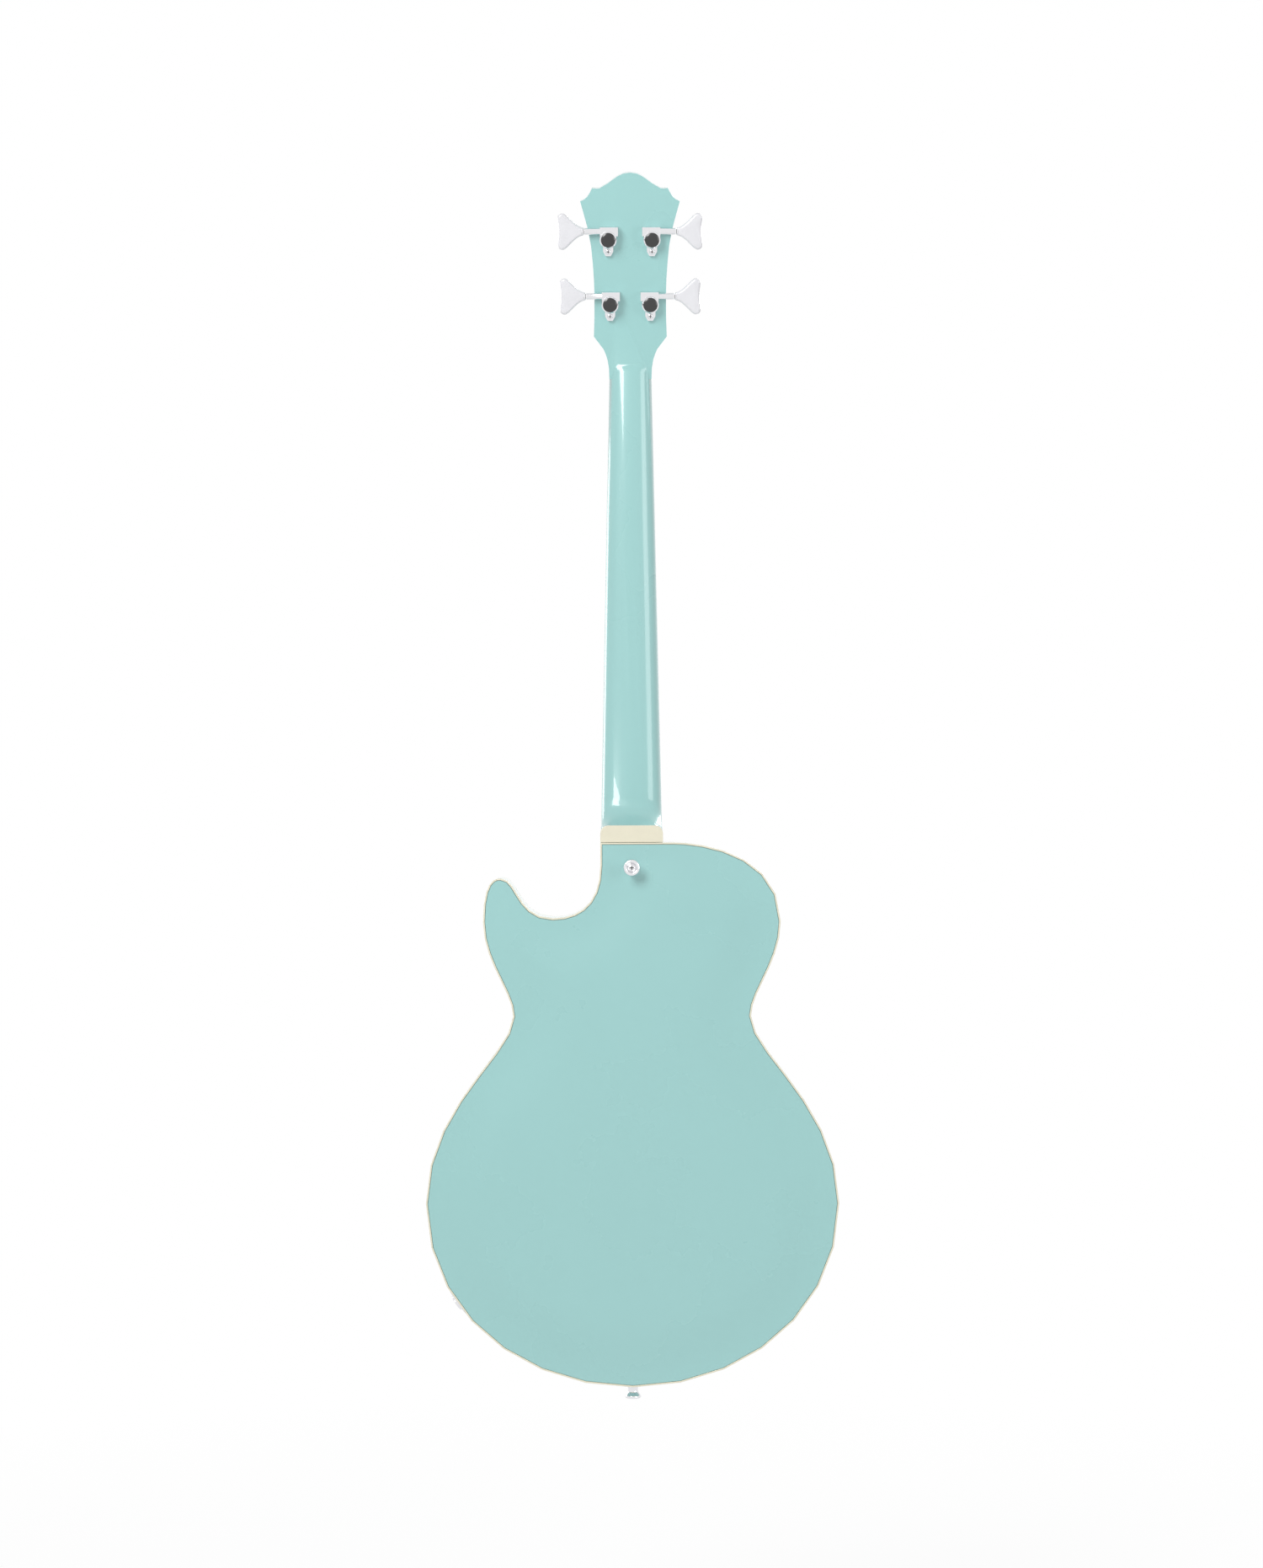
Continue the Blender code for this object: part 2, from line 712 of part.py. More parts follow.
def f_hole_cutters(side):
    """The stem and the two eyes of one sound hole."""
    half = F_HOLE_HALF_LENGTH
    hook = F_HOLE_HOOK_X
    eye_z = half - F_HOLE_EYE_DROP
    line = [
        (-hook, eye_z), (-hook * 0.92, half * 0.92), (-hook * 0.45, half), (-hook * 0.05, half * 0.88),
        (0.0, half * 0.62), (0.0, 0.0),
    ]
    line += [(-x, -z) for x, z in reversed(line[:-1])]
    path = smooth_path([(x, 0.0, z) for x, z in line], 2)
    left, right = [], []
    for i, point in enumerate(path):
        before = path[max(i - 1, 0)]
        after = path[min(i + 1, len(path) - 1)]
        along = (after - before).normalized()
        share = math.sin(math.pi * i / (len(path) - 1))
        half_width = (F_HOLE_TIP_WIDTH + (F_HOLE_STEM_WIDTH - F_HOLE_TIP_WIDTH) * share) / 2
        across = Vector((along.z, 0.0, -along.x)) * half_width
        left.append(point - across)
        right.append(point + across)
    centre_x = side * F_HOLE_X
    centre_z = BODY_BOTTOM + F_HOLE_HEIGHT
    ring = [(centre_x + side * p.x, centre_z + p.z) for p in [*left, *reversed(right)]]
    label = "treble" if side > 0 else "bass"
    front = TOP_SURFACE_Y - PLATE_THICKNESS
    cutters = [prism(f"f_hole_{label}", ring, front, 0.0)]
    for end in (-1, 1):
        cutters.append(turned(
            f"f_hole_{label}_eye_{end}",
            [(F_HOLE_EYE_RADIUS, front), (F_HOLE_EYE_RADIUS, 0.0)],
            segments=12,
            at=(centre_x - side * end * hook, 0.0, centre_z + end * eye_z),
        ))
    return cutters


def pickup_places():
    """Name, height on the body, and y of the face, for each pickup."""
    neck_z = FRETBOARD_END_Z - NECK_PICKUP_DROP
    bridge_z = BRIDGE_Z + BRIDGE_PICKUP_RISE
    return [(name, z, string_floor_y(z) + PICKUP_STRING_GAP) for name, z in (("neck", neck_z), ("bridge", bridge_z))]


def string_floor_y(z):
    """World y of the strings' undersides at the middle of the body, at a height z."""
    top = NECK_FRAME @ Vector((0.0, -STRING_HEIGHT_AT_NUT, 0.0))
    foot = NECK_FRAME @ Vector((0.0, -STRING_HEIGHT_AT_BRIDGE, -SCALE_LENGTH))
    share = (z - foot.z) / (top.z - foot.z)
    return foot.y + (top.y - foot.y) * share


def tenon_box(name, gap):
    """The neck's tenon, or with a gap the room it needs."""
    half = TENON_WIDTH / 2 + gap
    return box(
        name,
        (-half, -RIM_Y - TOP_ARCH if gap else -RIM_Y, BODY_TOP - TENON_LENGTH - gap),
        (half, TENON_BACK + gap, BODY_TOP + 2 * HEEL_LENGTH / 3),
    )


def make_body_shell():
    """Back, top, sides, bindings and linings."""
    back = body_plate("body_back", BACK_ARCH, 1, mint_paint())
    cut(back, round_cutter("heel_screw_in_back", STRAP_SCREW_RADIUS + STRAP_SCREW_GAP, heel_button_frame()))
    top = body_plate("body_top", TOP_ARCH, -1, mint_paint())
    cut(top, *f_hole_cutters(-1), *f_hole_cutters(1), tenon_box("tenon_in_top", FIT_GAP))
    for name, z, _ in pickup_places():
        half_x = PICKUP_WIDTH / 2 + TOP_CUT_GAP
        half_z = PICKUP_LENGTH / 2 + TOP_CUT_GAP
        cut(top, box(f"{name}_pickup_cut", (-half_x, -TRIM_REACH, z - half_z), (half_x, 0.0, z + half_z)))
    for x, z, radius in top_holes():
        cut(top, turned(f"top_hole_{x:.4f}_{z:.4f}", [(radius, -TRIM_REACH), (radius, 0.0)], at=(x, 0.0, z)))

    inner = RIM_Y - PLATE_THICKNESS - FIT_GAP
    ledge = RIM_Y - BINDING_HEIGHT - FIT_GAP
    rebate = BINDING_THICKNESS + FIT_GAP
    sides = rim_ring("body_sides", [
        (0.0, -ledge), (0.0, ledge), (rebate, ledge), (rebate, inner),
        (SIDE_THICKNESS, inner), (SIDE_THICKNESS, -inner), (rebate, -inner), (rebate, -ledge),
    ], finish=mint_paint())
    cut(sides, tenon_box("tenon_in_sides", FIT_GAP))
    cut(sides, round_cutter("end_screw_in_sides", STRAP_SCREW_RADIUS + STRAP_SCREW_GAP, end_button_frame()))
    cut(sides, round_cutter("jack_hole", JACK_HOLE_RADIUS, jack_frame()))

    for name, side in (("back_binding", 1), ("top_binding", -1)):
        low, high = side * (RIM_Y - BINDING_HEIGHT), side * RIM_Y
        binding = rim_ring(
            name,
            [(0.0, low), (0.0, high), (BINDING_THICKNESS, high), (BINDING_THICKNESS, low)],
            finish=cream_plastic(),
        )
        if side < 0:
            cut(binding, tenon_box("tenon_in_binding", FIT_GAP))

    start = SIDE_THICKNESS + FIT_GAP
    for name, side in (("back_lining", 1), ("top_lining", -1)):
        rim = side * inner
        foot = side * (inner - LINING_HEIGHT)
        lining = rim_ring(
            name, [(start, rim), (start + LINING_WIDTH, rim), (start, foot)], finish=bare_wood()
        )
        if side < 0:
            cut(lining, tenon_box("tenon_in_lining", FIT_GAP))


def trim_to_plates(obj, top=True, back=True):
    """Cuts an inside piece back from the plates' inner surfaces."""
    if top:
        cut(obj, arched_slab(f"{obj.name}_top_trim", TOP_ARCH, -1, -PLATE_THICKNESS - FIT_GAP, None))
    if back:
        cut(obj, arched_slab(f"{obj.name}_back_trim", BACK_ARCH, 1, -PLATE_THICKNESS - FIT_GAP, None))
    return obj


def rim_block(name, low, high):
    """A block between the plates, set against the sides and notched for the linings."""
    deep = TRIM_REACH
    block = box(name, (low[0], -deep, low[1]), (high[0], deep, high[1]), finish=bare_wood())
    room = inset(OUTLINE, SIDE_THICKNESS + 2 * FIT_GAP)
    combine(block, prism(f"{name}_room", room, -deep * 2, deep * 2), "INTERSECT")
    trim_to_plates(block)
    reach = LINING_WIDTH + 2 * FIT_GAP
    start = SIDE_THICKNESS - FIT_GAP
    inner = RIM_Y - PLATE_THICKNESS
    for side in (1, -1):
        rim = side * (inner + BACK_ARCH)
        foot = side * (inner - LINING_HEIGHT - 2 * FIT_GAP)
        cut(block, rim_ring(
            f"{name}_lining_notch_{side}",
            [(start, rim), (start + reach + FIT_GAP, rim), (start + reach + FIT_GAP, foot), (start, foot)],
        ))
    return block


def make_body_inside():
    """Blocks, braces and the bridge block."""
    centre = NECK_BLOCK_OFFSET
    neck_block = rim_block(
        "neck_block",
        (centre - NECK_BLOCK_WIDTH / 2, BODY_TOP - NECK_BLOCK_LENGTH),
        (centre + NECK_BLOCK_WIDTH / 2, BODY_TOP),
    )
    cut(neck_block, tenon_box("mortise", FIT_GAP))
    cut(neck_block, round_cutter("heel_screw_in_block", STRAP_SCREW_RADIUS + STRAP_SCREW_GAP, heel_button_frame()))
    tail_block = rim_block(
        "tail_block",
        (-TAIL_BLOCK_WIDTH / 2, BODY_BOTTOM),
        (TAIL_BLOCK_WIDTH / 2, BODY_BOTTOM + TAIL_BLOCK_LENGTH),
    )
    cut(tail_block, round_cutter("end_screw_in_block", STRAP_SCREW_RADIUS + STRAP_SCREW_GAP, end_button_frame()))

    inner_y = TOP_SURFACE_Y + PLATE_THICKNESS
    for name, side, length in (("bass_brace", -1, BASS_BRACE_LENGTH), ("treble_brace", 1, TREBLE_BRACE_LENGTH)):
        x = side * BRACE_X
        brace = box(
            name,
            (x - BRACE_WIDTH / 2, -TRIM_REACH, BODY_BOTTOM + BRACE_BOTTOM),
            (x + BRACE_WIDTH / 2, inner_y + BRACE_HEIGHT, BODY_BOTTOM + BRACE_BOTTOM + length),
            finish=bare_wood(),
        )
        trim_to_plates(brace, back=False)

    half = BRIDGE_BLOCK_WIDTH / 2
    block = box(
        "bridge_block",
        (-half, -TRIM_REACH, TAILPIECE_Z - BRIDGE_BLOCK_MARGIN),
        (half, inner_y + BRIDGE_BLOCK_DEPTH, BRIDGE_Z + BRIDGE_BLOCK_MARGIN),
        finish=bare_wood(),
    )
    trim_to_plates(block, back=False)
    for x, z, radius in stud_holes():
        cut(block, turned(f"block_hole_{x:.4f}_{z:.4f}", [(radius, -TRIM_REACH), (radius, 0.0)], at=(x, 0.0, z)))


def stud_holes():
    """The bridge posts' and tailpiece studs' holes, as (x, z, radius)."""
    found = []
    for side in (-1, 1):
        found.append((side * BRIDGE_POST_X, BRIDGE_Z, BRIDGE_POST_RADIUS + FIT_GAP))
        found.append((side * TAIL_STUD_X, TAILPIECE_Z, TAIL_STUD_RADIUS + FIT_GAP))
    return found


def top_holes():
    """Every round hole through the top, as (x, z, radius)."""
    found = [(CONTROL_X[name], BODY_BOTTOM + CONTROL_HEIGHTS[name], POT_HOLE_RADIUS) for name in CONTROL_NAMES]
    found.append((SWITCH_X, BODY_TOP - SWITCH_DROP, SWITCH_BUSHING_RADIUS + FIT_GAP))
    return found + stud_holes()


# Neck

def neck_half_width(distance):
    """Half the neck's width at a distance from the nut."""
    return (NUT_WIDTH + NECK_TAPER * distance) / 2


def neck_section(distance, back, power, flat_limit=None):
    """A cross-section in the neck's frame: flat under the fretboard and rounded behind."""
    half = neck_half_width(max(distance, 0.0))
    front = FRETBOARD_THICKNESS + FIT_GAP
    steps = 12
    points = []
    for i in range(steps + 1):
        angle = math.pi * i / steps
        across, down = math.cos(angle), math.sin(angle)
        x = half * math.copysign(abs(across) ** (2 / power), across)
        y = front + (back - front) * abs(down) ** (2 / power)
        if flat_limit is not None:
            y = min(y, flat_limit)
        points.append((x, y, -distance))
    return points


def neck_shaft():
    """Sections from the headstock's root down to the heel's foot at the body's edge."""
    slope = math.tan(VOLUTE_SLOPE)
    sections = []
    for distance in (-0.010, -0.003, 0.001):
        limit = NECK_DEPTH_AT_NUT - (-distance - VOLUTE_START) * slope
        sections.append(neck_section(distance, NECK_DEPTH_AT_NUT, 2.3, limit))
    sections.append(neck_section(-VOLUTE_START, NECK_DEPTH_AT_NUT, 2.3))
    sweep_start = JOINT_DISTANCE - HEEL_LENGTH - HEEL_SWEEP
    for share in (0.35, 0.7, 1.0):
        depth = NECK_DEPTH_AT_NUT + (NECK_DEPTH_AT_HEEL - NECK_DEPTH_AT_NUT) * share
        sections.append(neck_section(sweep_start * share, depth, 2.3 + 0.3 * share))
    heel_back = RIM_Y - HEEL_CAP_THICKNESS - FIT_GAP - FRET_PLANE_Y
    for angle in (25, 45, 65, 80, 90):
        turn = math.radians(angle)
        distance = sweep_start + HEEL_SWEEP * math.sin(turn)
        depth = heel_back - (heel_back - NECK_DEPTH_AT_HEEL) * math.cos(turn)
        sections.append(neck_section(distance, depth, 2.6 + 5.4 * angle / 90))
    foot = neck_section(JOINT_DISTANCE, heel_back, 8.0)
    sections.append(foot)
    placed = [[NECK_FRAME @ Vector(point) for point in section] for section in sections]
    seat = BODY_TOP + FIT_GAP
    placed[-1] = [Vector((p.x, p.y, seat)) for p in placed[-1]]
    neck = loft("neck", placed, finish=mint_paint())
    flush = prism("heel_back_trim", [(-0.1, seat - 0.1), (0.1, seat - 0.1), (0.1, seat + 0.1), (-0.1, seat + 0.1)],
                  RIM_Y - HEEL_CAP_THICKNESS - FIT_GAP, TRIM_REACH)
    return cut(neck, flush)


def headstock_outline():
    """The headstock's edge in its own plane, (x, z) from the nut's upper edge."""
    flare = bezier(
        (HEAD_THROAT_HALF, HEAD_THROAT_Z), (HEAD_THROAT_HALF, HEAD_THROAT_Z + 0.016),
        (HEAD_FLARE_HALF - 0.0025, HEAD_FLARE_Z - 0.006), (HEAD_FLARE_HALF, HEAD_FLARE_Z), 4,
    )
    side = bezier(
        (HEAD_EAR_HALF, HEAD_EAR_Z), (HEAD_EAR_HALF - 0.0006, HEAD_EAR_Z + 0.012),
        (HEAD_WAIST_HALF, HEAD_WAIST_Z - 0.015), (HEAD_WAIST_HALF, HEAD_WAIST_Z), 2,
    )
    upper = bezier(
        (HEAD_WAIST_HALF, HEAD_WAIST_Z), (HEAD_WAIST_HALF, HEAD_WAIST_Z + 0.015),
        (HEAD_SHOULDER_HALF - 0.0015, HEAD_SHOULDER_Z - 0.014), (HEAD_SHOULDER_HALF, HEAD_SHOULDER_Z), 3,
    )
    horn = bezier(
        (HEAD_SHOULDER_HALF, HEAD_SHOULDER_Z), (HEAD_SHOULDER_HALF + 0.0015, HEAD_SHOULDER_Z + 0.014),
        (HEAD_HORN_HALF - 0.002, HEAD_HORN_Z - 0.008), (HEAD_HORN_HALF, HEAD_HORN_Z), 3,
    )
    scoop = bezier(
        (HEAD_HORN_HALF, HEAD_HORN_Z), (HEAD_HORN_HALF - 0.006, HEAD_HORN_Z + 0.002),
        (HEAD_STEP_HALF + 0.003, HEAD_STEP_Z - 0.006), (HEAD_STEP_HALF, HEAD_STEP_Z), 4,
    )
    ledge = bezier(
        (HEAD_STEP_HALF, HEAD_STEP_Z), (HEAD_STEP_HALF - 0.005, HEAD_STEP_Z - 0.0005),
        (HEAD_CROWN_FOOT_HALF + 0.003, HEAD_STEP_Z - 0.001), (HEAD_CROWN_FOOT_HALF, HEAD_STEP_Z + 0.0015), 3,
    )
    crown = bezier(
        (HEAD_CROWN_FOOT_HALF, HEAD_STEP_Z + 0.0015), (HEAD_CROWN_FOOT_HALF - 0.008, HEAD_STEP_Z + 0.005),
        (0.011, HEAD_CROWN_Z), (0.0, HEAD_CROWN_Z), 5,
    )
    right = [*flare, (HEAD_FLARE_HALF, HEAD_FLARE_Z), *side, *upper, *horn, *scoop, *ledge, *crown]
    left = [(-x, z) for x, z in reversed(right)]
    return [*right, (0.0, HEAD_CROWN_Z), *left]


def make_neck(neck_frame, head_frame):
    neck = neck_shaft()
    join(neck, prism("headstock_plate", headstock_outline(), 0.0, HEAD_THICKNESS, parent=head_frame))
    front = FRETBOARD_THICKNESS + FIT_GAP
    # The headstock's root stays behind the fretboard's and the nut's seats.
    cut(neck, box("nut_seat", (-0.05, -0.02, -0.03), (0.05, front, NUT_THICKNESS + FIT_GAP), parent=neck_frame))
    join(neck, tenon_box("tenon", 0.0))
    tongue_half = neck_half_width(JOINT_DISTANCE) - 0.001
    tongue = loft("tongue", [
        [NECK_FRAME @ Vector(p) for p in (
            (half, front, -distance), (-half, front, -distance),
            (-half, front + 0.012, -distance), (half, front + 0.012, -distance),
        )]
        for distance, half in ((JOINT_DISTANCE - 0.004, tongue_half),
                               (FRETBOARD_LENGTH - 0.001, neck_half_width(FRETBOARD_LENGTH) - 0.001))
    ])
    room = arched_slab("tongue_trim", TOP_ARCH, -1, None, FIT_GAP)
    body_only = box("tongue_trim_limit", (-0.1, -0.1, 0.0), (0.1, 0.1, BODY_TOP + FIT_GAP))
    combine(room, body_only, "INTERSECT")
    cut(tongue, room)
    join(neck, tongue)
    channel = TRUSS_ROD_RADIUS + FIT_GAP
    cut(neck, box(
        "truss_channel",
        (-channel, front - 0.001, -TRUSS_ROD_LENGTH - FIT_GAP),
        (channel, TRUSS_ROD_DEPTH + channel, TRUSS_NUT_TOP),
        parent=neck_frame,
    ))
    pocket = TRUSS_POCKET_WIDTH / 2
    cut(neck, box(
        "truss_pocket",
        (-pocket, -0.01, NUT_THICKNESS + 0.002),
        (pocket, TRUSS_ROD_DEPTH + TRUSS_NUT_RADIUS + FIT_GAP, TRUSS_POCKET_TOP),
        parent=neck_frame,
    ))
    hole = SLEEVE_RADIUS + SLEEVE_HOLE_GAP
    for name in STRING_NAMES:
        x, z, _ = post_place(name)
        cut(neck, turned(f"post_hole_{name}", [(hole, -0.005), (hole, HEAD_THICKNESS + 0.005)],
                         parent=head_frame, at=(x, 0.0, z)))
    cut(neck, round_cutter("heel_screw_in_tenon", STRAP_SCREW_RADIUS + STRAP_SCREW_GAP, heel_button_frame()))

    make_heel_cap()
    make_truss_rod(neck_frame, head_frame)
    make_nut(neck_frame)
    make_fretboard(neck_frame)


def make_heel_cap():
    half = neck_half_width(JOINT_DISTANCE)
    foot = BODY_TOP + FIT_GAP
    head = BODY_TOP + HEEL_LENGTH
    corner = HEEL_CAP_RADIUS
    outline = [(-half, foot), (half, foot)]
    for centre_x, first in ((half - corner, 0), (-half + corner, 90)):
        for step in range(5):
            turn = math.radians(first + 90 * step / 4)
            outline.append((centre_x + corner * math.cos(turn), head - corner + corner * math.sin(turn)))
    prism("heel_cap", outline, RIM_Y - HEEL_CAP_THICKNESS, RIM_Y, finish=cream_plastic())


def make_truss_rod(neck_frame, head_frame):
    steel = material("steel", (0.45, 0.45, 0.47), 0.35, 1.0)
    turned("truss_rod", [
        (TRUSS_ROD_RADIUS, -TRUSS_ROD_LENGTH), (TRUSS_ROD_RADIUS, TRUSS_NUT_TOP - TRUSS_NUT_LENGTH),
        (TRUSS_NUT_RADIUS, TRUSS_NUT_TOP - TRUSS_NUT_LENGTH), (TRUSS_NUT_RADIUS, TRUSS_NUT_TOP),
    ], segments=12, axis="Z", finish=steel, parent=neck_frame, at=(0.0, TRUSS_ROD_DEPTH, 0.0))
    half = TRUSS_COVER_WIDTH / 2
    foot = TRUSS_COVER_FOOT
    tall = TRUSS_COVER_LENGTH
    outline = [(-half, foot), (half, foot)]
    outline += bezier((half, foot + 0.004), (half, foot + 0.5 * tall), (half * 0.35, foot + 0.55 * tall),
                      (half * 0.3, foot + 0.85 * tall), 5)
    outline += bezier((half * 0.3, foot + 0.85 * tall), (half * 0.3, foot + tall), (-half * 0.3, foot + tall),
                      (-half * 0.3, foot + 0.85 * tall), 5)
    outline += bezier((-half * 0.3, foot + 0.85 * tall), (-half * 0.35, foot + 0.55 * tall),
                      (-half, foot + 0.5 * tall), (-half, foot + 0.004), 5)
    outline.append((-half, foot + 0.004))
    black = material("black_plastic", (0.02, 0.02, 0.02), 0.3)
    prism("truss_rod_cover", outline, -TRUSS_COVER_THICKNESS - FIT_GAP, -FIT_GAP, finish=black, parent=head_frame)


def make_nut(neck_frame):
    half = NUT_WIDTH / 2
    bone = material("bone", (0.86, 0.84, 0.76), 0.4)
    seat = FRETBOARD_THICKNESS
    nut = box("nut", (-half, -NUT_RISE, FIT_GAP), (half, seat, NUT_THICKNESS), finish=bone, parent=neck_frame)
    for name in STRING_NAMES:
        x = string_x(name, STRING_SPREAD_AT_NUT)
        radius = STRING_DIAMETERS[name] / 2 + FIT_GAP
        floor = -STRING_HEIGHT_AT_NUT + FIT_GAP + camber(x)
        cut(nut, box(f"nut_slot_{name}", (x - radius, -0.02, -0.01), (x + radius, floor, 0.02), parent=neck_frame))


def camber(x):
    """How far the fretboard's surface falls away at x from its middle."""
    return x * x / (2 * FRETBOARD_RADIUS)


def board_section(distance, rise, foot, half):
    """A section across the fretboard, its surface raised by rise, down to depth foot."""
    steps = 6
    surface = []
    for i in range(steps + 1):
        x = half * (2 * i / steps - 1)
        surface.append((x, camber(x) - rise, -distance))
    return [*surface, (half, foot, -distance), (-half, foot, -distance)]


def make_fretboard(neck_frame):
    """The board with its frets, which are seated in it."""
    rosewood = material("rosewood", (0.10, 0.05, 0.03), 0.5)
    board = loft("fretboard", [
        board_section(distance, 0.0, FRETBOARD_THICKNESS, neck_half_width(distance))
        for distance in (0.0, FRETBOARD_LENGTH)
    ], finish=rosewood, parent=neck_frame)
    for number in range(1, FRET_COUNT + 1):
        middle = fret_distance(number)
        half = neck_half_width(middle) - 0.0004
        wire = loft(f"fret_{number}", [
            board_section(middle + step * FRET_WIDTH / 2, rise, FRETBOARD_THICKNESS / 2, half)
            for step, rise in ((-1, 0.0002), (-0.45, FRET_HEIGHT), (0.45, FRET_HEIGHT), (1, 0.0002))
        ], parent=neck_frame)
        join(board, wire)


# Strings

def string_x(name, spread):
    """The place of a string across the neck, from bass at -X to treble at +X."""
    return spread * (STRING_NAMES.index(name) / (len(STRING_NAMES) - 1) - 0.5)


def post_place(name):
    """A tuner's place in the headstock's plane and the side its key points to."""
    side = -1 if name in ("e", "a") else 1
    if name in ("e", "g"):
        return side * POST_LOWER_X, POST_LOWER_Z, side
    return side * POST_UPPER_X, POST_UPPER_Z, side


def saddle_top(name):
    """The world point under a string where it rests on its saddle."""
    x = string_x(name, STRING_SPREAD_AT_BRIDGE)
    return NECK_FRAME @ Vector((x, -STRING_HEIGHT_AT_BRIDGE + camber(x), -SCALE_LENGTH))


def string_route(name):
    """World points of one string: tailpiece, saddle, nut, then the turns round its post."""
    radius = STRING_DIAMETERS[name] / 2
    x_nut = string_x(name, STRING_SPREAD_AT_NUT)
    rest = saddle_top(name) + Vector((0.0, -radius, 0.0))
    nut = NECK_FRAME @ Vector((x_nut, -STRING_HEIGHT_AT_NUT + camber(x_nut) - radius, 0.0))
    nut_back = NECK_FRAME @ Vector((x_nut, -STRING_HEIGHT_AT_NUT + camber(x_nut) - radius, NUT_THICKNESS * 0.9))
    along = (nut - rest).normalized()
    lead = rest - along * (SADDLE_TRAVEL + SADDLE_LENGTH / 2)
    start = tailpiece_hole_end(name, TAILPIECE_LENGTH / 2)
    route = [start, lead, nut, nut_back]

    to_head = HEAD_FRAME.inverted()
    leave = to_head @ nut_back
    x_post, z_post, side = post_place(name)
    wrap = POST_RADIUS + FIT_GAP + radius
    offset = Vector((leave.x - x_post, leave.z - z_post))
    base = math.atan2(offset.y, offset.x)
    swing = math.acos(wrap / offset.length)
    angle = base - side * swing
    pitch = 2 * radius + WINDING_GAP
    steps = round(WINDING_TURNS * WINDING_STEPS)
    for i in range(steps + 1):
        turn = angle + side * 2 * math.pi * i / WINDING_STEPS
        height = WINDING_START + pitch * i / WINDING_STEPS
        spot = Vector((x_post + wrap * math.cos(turn), -height, z_post + wrap * math.sin(turn)))
        route.append(HEAD_FRAME @ spot)
    return route


def tailpiece_hole_end(name, reach):
    """The point where a string's line meets a plane reach below the tailpiece's middle."""
    middle = Vector((
        string_x(name, STRING_SPREAD_AT_BRIDGE), TAILPIECE_FLOOR_Y - TAILPIECE_HEIGHT / 2, TAILPIECE_Z
    ))
    top = saddle_top(name)
    along = (top - middle).normalized()
    return middle - along * (reach / along.z)


def least_gap(points, diameter):
    """The smallest room between a wound tube's own turns, measured between points a half turn or more apart."""
    smallest = math.inf
    for i, first in enumerate(points):
        for second in points[i + WINDING_STEPS // 2:]:
            smallest = min(smallest, (second - first).length - diameter)
    return smallest


def make_strings():
    steel = material("string_steel", (0.62, 0.60, 0.57), 0.3, 1.0)
    for name in STRING_NAMES:
        route = string_route(name)
        curve = bpy.data.curves.new(f"string_{name}", "CURVE")
        curve.dimensions = "3D"
        curve.bevel_depth = STRING_DIAMETERS[name] / 2
        curve.bevel_resolution = 1
        curve.use_fill_caps = True
        spline = curve.splines.new("POLY")
        spline.points.add(len(route) - 1)
        for slot, point in zip(spline.points, route):
            slot.co = (*point, 1.0)
        curve.materials.append(steel)
        string = bpy.data.objects.new(f"string_{name}", curve)
        bpy.context.scene.collection.objects.link(string)
        gap = least_gap(route[4:], STRING_DIAMETERS[name])
        print(f"string_{name}: least gap between its turns {gap * 1000:.2f} mm")


# Tuners

